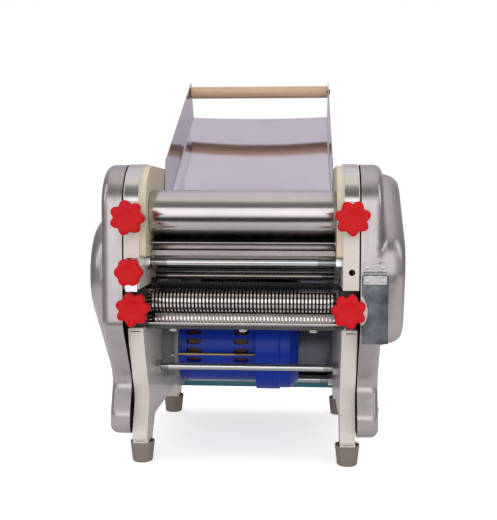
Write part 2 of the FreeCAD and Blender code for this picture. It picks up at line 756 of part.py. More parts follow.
def lower_leaf():
    """Leaf fixed on the flap, turning with it."""
    leaf = block(LEAF_FROM, LEAF_TO, PIN_Y - 0.6, PIN_Y + 0.4, PIN_Z - 13.5, PIN_Z - KNUCKLE - 0.4)
    parts = [leaf]
    for index in range(1, KNUCKLES, 2):
        barrel, start, end = knuckle(index)
        parts += [barrel, block(start, end, PIN_Y - 0.6, PIN_Y + 0.4, PIN_Z - KNUCKLE - 0.5, PIN_Z - PIN_RADIUS - 0.2)]
    bore = rod(PIN_RADIUS + number(d.running), LEAF_FROM - 1, LEAF_TO + 1, PIN_Y, PIN_Z)
    return merged(parts).cut(bore)


def flap_plate():
    """Zinc sheet with a round cut-out in its inner edge, behind the cutter knob."""
    plate = block(151.5, 184, PIN_Y + 0.4, PIN_Y + 1.6, 175, PIN_Z - KNUCKLE - 0.4)
    return plate.cut(rod_y(32, PIN_Y - 1, PIN_Y + 3, 127, 215))


feature("hinge_upper_leaf", upper_leaf())
feature("flap_hinge_pin", rod(PIN_RADIUS, LEAF_FROM - 0.8, LEAF_TO + 0.8, PIN_Y, PIN_Z))
feature("flap", flap_plate())
feature("flap_hinge_leaf", lower_leaf())
feature("flap_screws", Part.makeCompound([rod_y(2.4, PIN_Y - 1.8, PIN_Y - 0.6, x, PIN_Z - 8.5) for x in HINGE_SCREWS]))
cover_screws()

# ---------------------------------------------------------------- dough rollers, their gears and bearings

ROLLER_GEAR_INNER = 151.5
ROLLER_GEAR_OUTER = 161
MAIN_GEAR_INNER = 181
MAIN_GEAR_OUTER = 192
CUTTER_GEAR_INNER = 145.1
CUTTER_GEAR_OUTER = 149.5

turned("front_roller", [
    (-Size(ROLLER_GEAR_OUTER, str(ROLLER_GEAR_OUTER)) - 1, 0),
    (FLANGE_OUTER - 2, 0),
    (FLANGE_OUTER - 2, d.journal_radius),
    (d.roller_half, d.journal_radius),
    (d.roller_half, d.roller_radius),
    (-d.roller_half, d.roller_radius),
    (-d.roller_half, d.journal_radius),
    (-Size(ROLLER_GEAR_OUTER, str(ROLLER_GEAR_OUTER)) - 1, d.journal_radius),
], d.front_roller_y, d.front_roller_z)

turned("rear_roller", [
    (-Size(ROLLER_GEAR_OUTER, str(ROLLER_GEAR_OUTER)) - 1, 0),
    (MAIN_GEAR_OUTER + 3, 0),
    (MAIN_GEAR_OUTER + 3, d.journal_radius),
    (d.roller_half, d.journal_radius),
    (d.roller_half, d.roller_radius),
    (-d.roller_half, d.roller_radius),
    (-d.roller_half, d.journal_radius),
    (-Size(ROLLER_GEAR_OUTER, str(ROLLER_GEAR_OUTER)) - 1, d.journal_radius),
], REAR_ROLLER_Y, REAR_ROLLER_Z)


def roller_gear(name, y, z, other_y, other_z, tooth):
    phase = mesh_phase(d.roller_teeth, y, z, other_y, other_z, tooth)
    wheel = gear(d.roller_teeth, d.roller_module, -ROLLER_GEAR_OUTER, -ROLLER_GEAR_INNER, y, z, phase,
                 addendum=0.66, dedendum=0.9, thin=0.95)
    return feature(name, wheel.cut(rod(d.journal_radius, -ROLLER_GEAR_OUTER - 1, -ROLLER_GEAR_INNER + 1, y, z)))


roller_gear("front_roller_gear", d.front_roller_y, d.front_roller_z, REAR_ROLLER_Y, REAR_ROLLER_Z, True)
roller_gear("rear_roller_gear", REAR_ROLLER_Y, REAR_ROLLER_Z, d.front_roller_y, d.front_roller_z, False)


def bearing_slides():
    """Blocks that carry the front roller and are pulled to and fro by the gap knobs' screws."""
    slides = []
    z_from, z_to = SLIDE_Z
    for side in (1, -1):
        slide = block(d.web_inner + d.plate + 0.4, FLANGE_OUTER - 1.6, 22, 76, z_from, z_to)
        slide = slide.cut(rod(d.journal_radius + d.running, 120, 160, d.front_roller_y, d.front_roller_z))
        slide = slide.cut(rod_y(4.1, 20, 36.5, d.knob_across, d.gap_knob_z))
        slides.append(mirrored(slide, side))
    return feature("bearing_slides", Part.makeCompound(slides))


def slide_guides():
    """Bars on the webs, above and below each bearing slide."""
    bars = []
    z_from, z_to = SLIDE_Z
    for side in (1, -1):
        for low in (z_from - 4.1, z_to + 0.1):
            bars.append(mirrored(block(d.web_inner + d.plate, FLANGE_OUTER - 4, 12, 86, low, low + 4), side))
    return feature("slide_guides", Part.makeCompound(bars))


SLIDE_Z = (314, 360)
bearing_slides()
slide_guides()


def bush(y, z, radius, side):
    inner = number(radius) + number(d.running)
    outer = number(radius) + BUSH_WALL
    start = number(d.web_inner)
    ring = rod(outer, start, start + 7, y, z).fuse(rod(outer + 3, start + number(d.plate), start + 5, y, z))
    return mirrored(ring.removeSplitter().cut(rod(inner, start - 1, start + 8, y, z)), side)


feature("bearing_bushes", Part.makeCompound(
    [bush(REAR_ROLLER_Y, REAR_ROLLER_Z, d.journal_radius, side) for side in (1, -1)]
    + [bush(JACKSHAFT_Y, JACKSHAFT_Z, d.shaft_radius, side) for side in (1, -1)]))

# ---------------------------------------------------------------- gear train and belt drive

main_phase = mesh_phase(d.main_teeth, REAR_ROLLER_Y, REAR_ROLLER_Z, JACKSHAFT_Y, JACKSHAFT_Z, True)
pinion_phase = mesh_phase(d.pinion_teeth, JACKSHAFT_Y, JACKSHAFT_Z, REAR_ROLLER_Y, REAR_ROLLER_Z, False)
cutter_pinion_phase = mesh_phase(d.cutter_pinion_teeth, JACKSHAFT_Y, JACKSHAFT_Z, IDLER_Y, IDLER_Z, True)
idler_phase = mesh_phase(d.idler_teeth, IDLER_Y, IDLER_Z, JACKSHAFT_Y, JACKSHAFT_Z, False)


def cutter_gear_phase():
    """The idler's phase is set by the jackshaft, so the cutter gear takes it up from the idler."""
    pitch = 2 * math.pi / int(number(d.idler_teeth))
    towards = math.pi
    ahead = (towards - idler_phase) % pitch
    from_gap = ahead - pitch / 2
    turn = from_gap * int(number(d.idler_teeth)) / int(number(d.cutter_teeth))
    return turn


def main_gear():
    wheel = gear(d.main_teeth, d.drive_module, MAIN_GEAR_INNER, MAIN_GEAR_OUTER, REAR_ROLLER_Y, REAR_ROLLER_Z,
                 main_phase)
    for step in range(6):
        angle = math.radians(60 * step)
        wheel = wheel.cut(rod(9, MAIN_GEAR_INNER - 1, MAIN_GEAR_OUTER + 1,
                              number(REAR_ROLLER_Y) + 34 * math.cos(angle),
                              number(REAR_ROLLER_Z) + 34 * math.sin(angle)))
    return wheel.cut(rod(d.journal_radius, MAIN_GEAR_INNER - 1, MAIN_GEAR_OUTER + 1, REAR_ROLLER_Y, REAR_ROLLER_Z))


feature("main_gear", main_gear())

PULLEY_INNER = 185
PULLEY_OUTER = 201
BELT_INNER = 188
BELT_OUTER = 198


def jackshaft_solid():
    shaft = rod(d.shaft_radius, -PULLEY_OUTER - 3, MAIN_GEAR_OUTER + 2, JACKSHAFT_Y, JACKSHAFT_Z)
    pinion = gear(d.pinion_teeth, d.drive_module, MAIN_GEAR_INNER - 1, MAIN_GEAR_OUTER + 1, JACKSHAFT_Y,
                  JACKSHAFT_Z, pinion_phase)
    return shaft.fuse(pinion)


feature("jackshaft", jackshaft_solid())
feature("cutter_pinion",
        gear(d.cutter_pinion_teeth, d.drive_module, CUTTER_GEAR_INNER, CUTTER_GEAR_OUTER, JACKSHAFT_Y, JACKSHAFT_Z,
             cutter_pinion_phase).cut(rod(d.shaft_radius, CUTTER_GEAR_INNER - 1, CUTTER_GEAR_OUTER + 1,
                                          JACKSHAFT_Y, JACKSHAFT_Z)))
feature("cutter_idler_gear",
        gear(d.idler_teeth, d.drive_module, CUTTER_GEAR_INNER, CUTTER_GEAR_OUTER, IDLER_Y, IDLER_Z,
             idler_phase).cut(rod(IDLER_AXLE_RADIUS + number(d.running), CUTTER_GEAR_INNER - 1,
                                  CUTTER_GEAR_OUTER + 1, IDLER_Y, IDLER_Z)))
feature("idler_axle", rod(IDLER_AXLE_RADIUS, d.web_inner, CUTTER_GEAR_OUTER + 0.3, IDLER_Y, IDLER_Z)
        .fuse(rod(IDLER_AXLE_RADIUS + 4, d.web_inner + d.plate, CUTTER_GEAR_INNER - 0.3, IDLER_Y, IDLER_Z)))


def pulley(name, radius, bore, y, z):
    """Turned V-belt pulley: web, rim and groove."""
    rim_from = Size(-PULLEY_OUTER, str(-PULLEY_OUTER))
    rim_to = Size(-PULLEY_INNER, str(-PULLEY_INNER))
    return turned(name, [
        (rim_from, bore), (rim_to, bore), (rim_to, radius),
        (rim_to - 1.5, radius), (rim_to - 2.6, radius - 6.4), (rim_from + 2.6, radius - 6.4),
        (rim_from + 1.5, radius), (rim_from, radius),
    ], y, z)


pulley("large_pulley", d.large_pulley_radius, d.shaft_radius, JACKSHAFT_Y, JACKSHAFT_Z)
pulley("motor_pulley", d.motor_pulley_radius, d.motor_shaft_radius, d.motor_y, d.motor_z)

BELT_PROUD = 1
BELT_THICK = 6
belt_outer = teardrop(d.large_pulley_radius + BELT_PROUD, JACKSHAFT_Y, JACKSHAFT_Z,
                      d.motor_pulley_radius + BELT_PROUD, d.motor_y, d.motor_z, -BELT_OUTER, -BELT_INNER)
belt_hole = teardrop(d.large_pulley_radius + BELT_PROUD - BELT_THICK, JACKSHAFT_Y, JACKSHAFT_Z,
                     d.motor_pulley_radius + BELT_PROUD - BELT_THICK, d.motor_y, d.motor_z,
                     -BELT_OUTER - 1, -BELT_INNER + 1)
feature("drive_belt", belt_outer.cut(belt_hole))

# ---------------------------------------------------------------- motor

MOTOR_LEFT = -101
MOTOR_STEP = 10
MOTOR_RIGHT = 72
MOTOR_RADIUS = 56
BELL_RADIUS = 68
BOLT_CIRCLE = 60.5
VENT_LENGTH = 21.5
VENT_RADIUS = 4      # round ends of a vent slot


def motor_housing():
    """Ribbed tube with rows of vent slots in its front."""
    tube = rod(MOTOR_RADIUS, MOTOR_LEFT, MOTOR_STEP, d.motor_y, d.motor_z)
    tube = tube.cut(rod(MOTOR_RADIUS - 5, MOTOR_LEFT - 1, MOTOR_STEP + 1, d.motor_y, d.motor_z))
    near = number(d.motor_y) - MOTOR_RADIUS - 4
    z = number(d.motor_z)
    for x in (-90, -21.5):
        for step in range(4):
            ends = (x + VENT_RADIUS, x + VENT_LENGTH - VENT_RADIUS)
            slot = merged([block(*ends, near, near + 24, z - VENT_RADIUS, z + VENT_RADIUS)]
                          + [rod_y(VENT_RADIUS, near, near + 24, end, z) for end in ends])
            slot.rotate(Vector(0, number(d.motor_y), z), Vector(1, 0, 0), -24.5 + 14 * step)
            tube = tube.cut(slot)
    return tube


feature("motor_housing", motor_housing())
turned("motor_end_bell", [
    (MOTOR_STEP, MOTOR_RADIUS - 5), (MOTOR_STEP, BELL_RADIUS), (44, BELL_RADIUS), (45.5, BELL_RADIUS - 2),
    (60, BELL_RADIUS - 2), (MOTOR_RIGHT, BELL_RADIUS - 14), (MOTOR_RIGHT, 10), (58, 10),
    (58, d.motor_shaft_radius + d.running), (54, d.motor_shaft_radius + d.running), (54, 16),
    (64, 16), (64, BELL_RADIUS - 16), (56, BELL_RADIUS - 6), (14, BELL_RADIUS - 6), (14, MOTOR_RADIUS - 5),
], d.motor_y, d.motor_z)
turned("motor_bracket", [
    (-d.web_inner, 40), (-d.web_inner, 46), (-107, 46), (-107, 64), (MOTOR_LEFT, 64),
    (MOTOR_LEFT, d.motor_shaft_radius + d.running), (-114, d.motor_shaft_radius + d.running), (-114, 16),
    (-107, 16), (-107, 40),
], d.motor_y, d.motor_z)
turned("motor_rotor", [
    (-PULLEY_OUTER - 3, 0), (62, 0), (62, d.motor_shaft_radius), (-6, d.motor_shaft_radius), (-6, 34),
    (-84, 34), (-84, d.motor_shaft_radius), (-PULLEY_OUTER - 3, d.motor_shaft_radius),
], d.motor_y, d.motor_z)
turned("motor_stator", [
    (-88, 35.5), (-2, 35.5), (-2, MOTOR_RADIUS - 5), (-88, MOTOR_RADIUS - 5),
], d.motor_y, d.motor_z)


def motor_through_bolts():
    bolts = []
    for angle in (187, 67, 307):
        y = number(d.motor_y) + BOLT_CIRCLE * math.cos(math.radians(angle))
        z = number(d.motor_z) + BOLT_CIRCLE * math.sin(math.radians(angle))
        shank = rod(2.2, MOTOR_LEFT, MOTOR_STEP, y, z)
        head = hexagon(7, -107 - 4, -107, y, z)
        bolts += [shank, head]
    return feature("motor_through_bolts", Part.makeCompound(bolts))


motor_through_bolts()

# ---------------------------------------------------------------- noodle cutter cartridge

BLOCK_FRONT = 36
BLOCK_BACK = 95
BLOCK_TOP = 237.8
CUTTER_JOURNAL = 4
SHORT_JOURNAL_END = 133.4
LAND = 121.5     # half of the grooved length of a cutter roller
PAIR_GEAR = (-126.1, -122.1)
SCREW_RADIUS = 3
STUD_END = 46     # back end of a cutter knob's stud, in its end block


def disc_starts(offset):
    """Left faces of the discs of one cutter roller."""
    pitch = number(d.disc_pitch)
    count = int(2 * (LAND - 1.5) / pitch)
    first = -count * pitch / 2 + offset
    return [first + index * pitch for index in range(count)]


def cutter_roller(y, z, offset, journal_right, phase):
    """Core, discs, journals and the small gear cut on the left end."""
    width = number(d.disc_width)
    corners = [Vector(-LAND, 0, 0), Vector(-LAND, number(d.groove_radius), 0)]
    for start in disc_starts(offset):
        for x, radius in ((start, d.groove_radius), (start, d.disc_radius),
                          (start + width, d.disc_radius), (start + width, d.groove_radius)):
            corners.append(Vector(x, number(radius), 0))
    corners += [Vector(LAND, number(d.groove_radius), 0), Vector(LAND, 0, 0), Vector(-LAND, 0, 0)]
    core = Part.Face(Part.makePolygon(corners)).revolve(Vector(), Vector(1, 0, 0), 360)
    core.translate(Vector(0, number(y), number(z)))
    journal = rod(CUTTER_JOURNAL, -SHORT_JOURNAL_END, journal_right, y, z)
    pair = gear(d.pair_teeth, d.pair_module, PAIR_GEAR[0], PAIR_GEAR[1], y, z, phase)
    neck = rod(number(d.groove_radius) - 2, PAIR_GEAR[1], -LAND, y, z)
    return core.fuse([journal, pair, neck]).removeSplitter()


def end_blocks():
    blocks = []
    for side in (1, -1):
        body = block(d.block_inner, d.block_outer, BLOCK_FRONT, BLOCK_BACK, d.notch_bottom + 0.5, BLOCK_TOP)
        upper_to = d.block_outer + 1 if side > 0 else SHORT_JOURNAL_END + 0.4
        inner = number(d.block_inner) - 1
        body = body.cut(rod(CUTTER_JOURNAL + number(d.running), inner, upper_to, d.cutter_y, d.cutter_z))
        body = body.cut(rod(CUTTER_JOURNAL + number(d.running), inner, SHORT_JOURNAL_END + 0.4,
                            LOWER_CUTTER_Y, LOWER_CUTTER_Z))
        body = body.cut(rod_y(SCREW_RADIUS + number(d.running), BLOCK_FRONT - 1, STUD_END + 1,
                              d.cutter_knob_across, d.cutter_knob_z))
        blocks.append(mirrored(body, side))
    return feature("cutter_end_blocks", Part.makeCompound(blocks))


def comb(offset, tooth_outline, spine_outline):
    """A spine with one tooth in each groove of a cutter roller."""
    gap = number(d.disc_pitch) - number(d.disc_width)
    tooth_width = gap - 0.7
    half = number(d.block_inner)
    spine = slab([(y, z, 0) for y, z in spine_outline], -half, half)
    teeth = []
    starts = disc_starts(offset)
    for start in starts[:-1]:
        left = start + number(d.disc_width) + 0.35
        teeth.append(slab([(y, z, 0) for y, z in tooth_outline], left, left + tooth_width))
    return spine.fuse(teeth).removeSplitter()


HALF_PITCH = number(d.disc_pitch) / 2
pair_towards = mesh_phase(d.pair_teeth, d.cutter_y, d.cutter_z, LOWER_CUTTER_Y, LOWER_CUTTER_Z, True)
pair_back = mesh_phase(d.pair_teeth, LOWER_CUTTER_Y, LOWER_CUTTER_Z, d.cutter_y, d.cutter_z, False)

end_blocks()
feature("upper_cutter_roller", cutter_roller(d.cutter_y, d.cutter_z, 0, CUTTER_GEAR_OUTER, pair_towards))
feature("lower_cutter_roller",
        cutter_roller(LOWER_CUTTER_Y, LOWER_CUTTER_Z, HALF_PITCH, SHORT_JOURNAL_END, pair_back))
feature("cutter_gear",
        gear(d.cutter_teeth, d.drive_module, CUTTER_GEAR_INNER, CUTTER_GEAR_OUTER, d.cutter_y, d.cutter_z,
             cutter_gear_phase()).cut(rod(CUTTER_JOURNAL, CUTTER_GEAR_INNER - 1, CUTTER_GEAR_OUTER + 1,
                                          d.cutter_y, d.cutter_z)))
feature("upper_comb", comb(0, [(84, 240), (84, 242.5), (64.6, 235.2), (64.9, 233.4)][::-1],
                           [(84, 234), (90, 234), (90, 243), (84, 243)]))
feature("lower_comb", comb(HALF_PITCH, [(48.6, 191), (49.8, 191), (58.6, 203.2), (57.2, 204.2)],
                           [(47.6, 190), (50.4, 190), (50.4, 192.5), (47.6, 192.5)]))
BAR_BOTTOM = 185.7
BAR_SCREW_HEAD = 4.2
feature("cutter_bar", block(-d.block_inner, d.block_inner, 36.5, 52, BAR_BOTTOM, 190))
feature("cutter_bar_screws", Part.makeCompound([
    Part.makeCylinder(6, BAR_SCREW_HEAD, Vector(x, 44, BAR_BOTTOM - BAR_SCREW_HEAD), Vector(0, 0, 1))
    for x in (-92, 0, 92)]))

# ---------------------------------------------------------------- knobs


def star(lobes, outer, inner, y_from, y_to, x, z, turn):
    """A lobed knob head about Y, its outline a smooth wave, with a softened front edge."""
    points = []
    for index in range(4 * lobes):
        angle = math.pi * index / (2 * lobes)
        radius = (outer + inner) / 2 + (outer - inner) / 2 * math.cos(lobes * angle)
        angle += math.radians(turn)
        points.append(Vector(x + radius * math.cos(angle), y_from, z + radius * math.sin(angle)))
    wave = Part.BSplineCurve()
    wave.interpolate(points, PeriodicFlag=True)
    head = Part.Face(Part.Wire(wave.toShape())).extrude(Vector(0, y_to - y_from, 0))
    front = [edge for edge in head.Edges if edge.BoundBox.YMax < y_from + 1e-3]
    return head.makeFillet(1.5, front)


def knob(name, x, lobes, outer, inner, face_y, depth, screw_to, screw_radius, z, turn):
    head = star(lobes, outer, inner, face_y, face_y + depth, x, number(z), turn)
    hub = Part.makeCone(outer * 0.62, outer * 0.4, 5, Vector(x, face_y + depth, number(z)), Vector(0, 1, 0))
    screw = rod_y(screw_radius, face_y + depth, screw_to, x, z)
    return feature(name, merged([head, hub, screw]))


for label, side, turn in (("left", -1, -2), ("right", 1, 14)):
    knob(label + "_gap_knob", side * number(d.knob_across), 7, 22, 17.2, -30, 13, 31, 4, d.gap_knob_z, turn)
    knob(label + "_cutter_knob", side * number(d.cutter_knob_across), 7, 22, 17.2, -15, 13, STUD_END, SCREW_RADIUS,
         d.cutter_knob_z, turn + 8)
knob("latch_knob", -number(d.knob_across), 6, 18, 15.2, -24, 11, 12, 3.5, d.latch_knob_z, 0)
feature("latch_plate", block(-145.5, -130.5, -2, 0, 238.2, 281).cut(
    rod_y(4, -3, 1, -d.knob_across, d.latch_knob_z)))

# ---------------------------------------------------------------- tray and its wooden roller

tray_cos = math.cos(math.radians(number(d.tray_slope)))
tray_sin = math.sin(math.radians(number(d.tray_slope)))


def on_tray(along, up):
    """A point of the tray: distance up its floor and height square to it."""
    return (number(d.tray_front_y) + along * tray_cos - up * tray_sin,
            number(d.tray_front_z) + along * tray_sin + up * tray_cos)


WOOD_ALONG = 383.0
WOOD_UP = 52.5
SIDE_START = 84.0


def tray():
    """One bent sheet: a sloping floor between two upright sides."""
    length = number(d.tray_length)
    side_height = number(d.tray_side)
    outline = [on_tray(0, 0), on_tray(length, 0), on_tray(length, side_height), on_tray(SIDE_START, side_height),
               on_tray(57, 34), on_tray(15, 2)]
    radii = [0, 0, 2, 4, 20, 0]
    profile = [(y, z, radius) for (y, z), radius in zip(outline, radii)]
    half = number(d.tray_half)
    wall = number(d.tray_wall)
    sides = [slab(profile, half - wall, half), slab(profile, -half, wall - half)]
    floor_outline = [(*on_tray(along, up), 0) for along, up in ((0, 0), (length, 0), (length, wall), (0, wall))]
    floor = slab(floor_outline, -half, half)
    sheet_metal = merged([floor] + sides)
    y, z = on_tray(WOOD_ALONG, WOOD_UP)
    return sheet_metal.cut(rod(2.5, -half - 1, half + 1, y, z))


def wooden_roller():
    y, z = on_tray(WOOD_ALONG, WOOD_UP)
    reach = number(d.tray_half - d.tray_wall) - 0.6
    return rod(10, -reach, reach, y, z).cut(rod(2.5 + number(d.running), -reach - 1, reach + 1, y, z))


def tray_screws():
    """Axle bolts of the wooden roller and the screws that fix the tray to the guards."""
    y, z = on_tray(WOOD_ALONG, WOOD_UP)
    half = number(d.tray_half)
    inside = half - number(d.tray_wall)
    parts = []
    for side in (1, -1):
        axle = merged([rod(2.5, half - 30, half + 0.1, y, z), rod(5, half, half + 3, y, z)])
        parts.append(mirrored(axle, side))
        for screw_y, screw_z in ((155.6, 360.4), (178, 361)):
            parts.append(mirrored(rod(3.2, inside - 1.8, inside, screw_y, screw_z), side))
    return parts


feature("tray", tray())
feature("wooden_roller", wooden_roller())
feature("tray_screws", Part.makeCompound(tray_screws()))

# ---------------------------------------------------------------- checks and export

doc.recompute()
for item in doc.Objects:
    if "Invalid" in item.State or "Error" in item.State:
        raise RuntimeError(f"{item.Label} failed: {item.State}")
if len(nodes) > 60:
    raise RuntimeError(f"{len(nodes)} nodes")

os.makedirs("parts", exist_ok=True)
whole = FreeCAD.BoundBox()
for item in nodes:
    if item.Shape.isNull() or not item.Shape.isValid() or not item.Shape.Solids:
        raise RuntimeError(f"{item.Label} has no valid solid")
    whole.add(item.Shape.BoundBox)
    item.Shape.exportStep(f"parts/{item.Label}.step")
print(len(nodes), "nodes; bounds", whole)
print("centre", whole.Center)
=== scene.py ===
import json
import math

import bmesh
import bpy
import numpy as np
from mathutils import Matrix, Vector
from mathutils.geometry import delaunay_2d_cdt

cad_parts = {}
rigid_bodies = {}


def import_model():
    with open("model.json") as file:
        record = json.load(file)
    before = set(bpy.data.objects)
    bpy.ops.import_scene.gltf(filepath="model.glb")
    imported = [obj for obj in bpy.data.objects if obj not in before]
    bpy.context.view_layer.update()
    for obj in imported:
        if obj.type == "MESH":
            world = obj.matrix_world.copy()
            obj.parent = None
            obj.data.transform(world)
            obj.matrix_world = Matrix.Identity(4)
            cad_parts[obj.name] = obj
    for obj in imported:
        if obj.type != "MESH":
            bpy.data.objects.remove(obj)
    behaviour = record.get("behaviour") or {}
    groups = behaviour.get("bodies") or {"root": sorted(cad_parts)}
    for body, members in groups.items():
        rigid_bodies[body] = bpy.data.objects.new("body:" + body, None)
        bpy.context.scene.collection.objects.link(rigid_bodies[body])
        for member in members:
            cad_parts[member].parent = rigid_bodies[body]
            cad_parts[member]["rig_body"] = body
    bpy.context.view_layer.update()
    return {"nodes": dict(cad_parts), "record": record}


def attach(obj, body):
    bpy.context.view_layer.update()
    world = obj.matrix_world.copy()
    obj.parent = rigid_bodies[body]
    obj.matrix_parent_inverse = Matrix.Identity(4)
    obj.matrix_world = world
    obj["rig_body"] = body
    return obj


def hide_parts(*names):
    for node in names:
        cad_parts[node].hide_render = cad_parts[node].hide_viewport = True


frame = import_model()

MM = 0.001


def at(x, y, z):
    """A place in the part's frame, from millimetres off the machine's mid-plane, front faces and floor."""
    return Vector(((x + 3) * MM, (y - 216.3) * MM, z * MM))


# ---------------------------------------------------------------- camera

camera_data = bpy.data.cameras.new("camera")
camera_data.sensor_width = 36
camera_data.lens = 58.84615
camera_data.sensor_fit = "AUTO"
camera_data.clip_end = 60
camera = bpy.data.objects.new("camera", camera_data)
bpy.context.scene.collection.objects.link(camera)
YAW, PITCH, ROLL = math.radians(3.73), math.radians(3.87), 0.00166
ahead = Vector((-math.sin(YAW) * math.cos(PITCH), math.cos(YAW) * math.cos(PITCH), -math.sin(PITCH)))
right = Vector((math.cos(YAW), math.sin(YAW), 0))
up = right.cross(ahead)
right, up = right * math.cos(ROLL) + up * math.sin(ROLL), up * math.cos(ROLL) - right * math.sin(ROLL)
axes = Matrix((right, up, -ahead)).transposed().to_4x4()
camera.matrix_world = Matrix.Translation(at(79.06, -1058.28, 350.94)) @ axes
bpy.context.scene.camera = camera
bpy.context.scene.view_settings.view_transform = "Standard"

# ---------------------------------------------------------------- materials


class Tree:
    """A shader node tree, with short names for what the materials and the world use."""

    def __init__(self, tree):
        self.tree = tree

    def new(self, kind):
        return self.tree.nodes.new("ShaderNode" + kind)

    def link(self, out, into):
        self.tree.links.new(out, into)

    def feed(self, value, into):
        """Give an input a number, a colour or another node's output."""
        if isinstance(value, tuple):
            into.default_value = (*value, 1)
        elif isinstance(value, (int, float)):
            into.default_value = value
        else:
            self.link(value, into)

    def split(self, vector):
        node = self.new("SeparateXYZ")
        self.link(vector, node.inputs[0])
        return node.outputs

    def maths(self, operation, *values):
        node = self.new("Math")
        node.operation = operation
        for value, into in zip(values, node.inputs):
            self.feed(value, into)
        return node.outputs[0]

    def spread(self, value, low, high, out_low=0.0, out_high=1.0):
        node = self.new("MapRange")
        self.link(value, node.inputs["Value"])
        limits = {"From Min": low, "From Max": high, "To Min": out_low, "To Max": out_high}
        for label, number in limits.items():
            node.inputs[label].default_value = number
        return node.outputs["Result"]

    def mix(self, factor, first, second):
        """Blend of two colours; each is a colour or another node's output."""
        node = self.new("Mix")
        node.data_type = "RGBA"
        self.link(factor, node.inputs["Factor"])
        for slot, value in ((6, first), (7, second)):
            self.feed(value, node.inputs[slot])
        return node.outputs[2]

    def ramp(self, value, stops):
        node = self.new("ValToRGB")
        self.link(value, node.inputs["Fac"])
        elements = node.color_ramp.elements
        while len(elements) < len(stops):
            elements.new(0.5)
        for element, (position, color) in zip(elements, stops):
            element.position = position
            element.color = (*color, 1)
        return node.outputs["Color"]


class Nodes(Tree):
    """A new material's tree, with its shader and the object coordinates."""

    def __init__(self, name):
        self.material = bpy.data.materials.new(name)
        self.material.use_nodes = True
        super().__init__(self.material.node_tree)
        self.shader = self.tree.nodes["Principled BSDF"]
        self.place = self.new("TexCoord").outputs["Object"]

    def noise(self, scale, detail=3, rough=0.55, distortion=0.0):
        """Noise of a number of blotches per metre, the same all ways or one number for each axis."""
        scaled = self.new("Mapping")
        scaled.inputs["Scale"].default_value = scale if isinstance(scale, tuple) else (scale, scale, scale)
        self.link(self.place, scaled.inputs["Vector"])
        node = self.new("TexNoise")
        self.link(scaled.outputs["Vector"], node.inputs["Vector"])
        settings = {"Scale": 1, "Detail": detail, "Roughness": rough, "Distortion": distortion}
        for label, number in settings.items():
            node.inputs[label].default_value = number
        return node.outputs["Fac"]

    def drift(self, color, other, scale, detail=4):
        """One colour drifting to another in soft patches."""
        return self.mix(self.spread(self.noise(scale, detail), 0.35, 0.65), color, other)

    def bump(self, height, depth, below=None):
        node = self.new("Bump")
        node.inputs["Distance"].default_value = depth
        node.inputs["Strength"].default_value = 1.0
        self.link(height, node.inputs["Height"])
        if below:
            self.link(below, node.inputs["Normal"])
        return node.outputs["Normal"]

    def grained(self, rough, grain, bump_mm):
        """Roughness between two values, and a bump, from the same grain."""
        self.link(self.spread(grain, 0.3, 0.7, *rough), self.shader.inputs["Roughness"])
        self.link(self.bump(grain, bump_mm * MM), self.shader.inputs["Normal"])


def finish_of(name, color, other, metallic, rough, grain, bump_mm,
              patch=14, speckle=None, coat=0.0, spec=None):
    """Base colour drifting to other in soft patches, roughness from grain, and a bump from the same grain."""
    n = Nodes(name)
    tone = n.drift(color, other, patch)
    if speckle:
        fineness, threshold, dot_color, strength = speckle
        dots = n.spread(n.noise(fineness, detail=1), threshold, threshold + 0.05, 0, strength)
        tone = n.mix(dots, tone, dot_color)
    n.link(tone, n.shader.inputs["Base Color"])
    n.shader.inputs["Metallic"].default_value = metallic
    n.shader.inputs["Coat Weight"].default_value = coat
    if coat:
        n.shader.inputs["Coat Roughness"].default_value = 0.12
    if spec is not None:
        n.shader.inputs["Specular IOR Level"].default_value = spec
    n.grained(rough, n.noise(grain, detail=4), bump_mm)
    return n.material


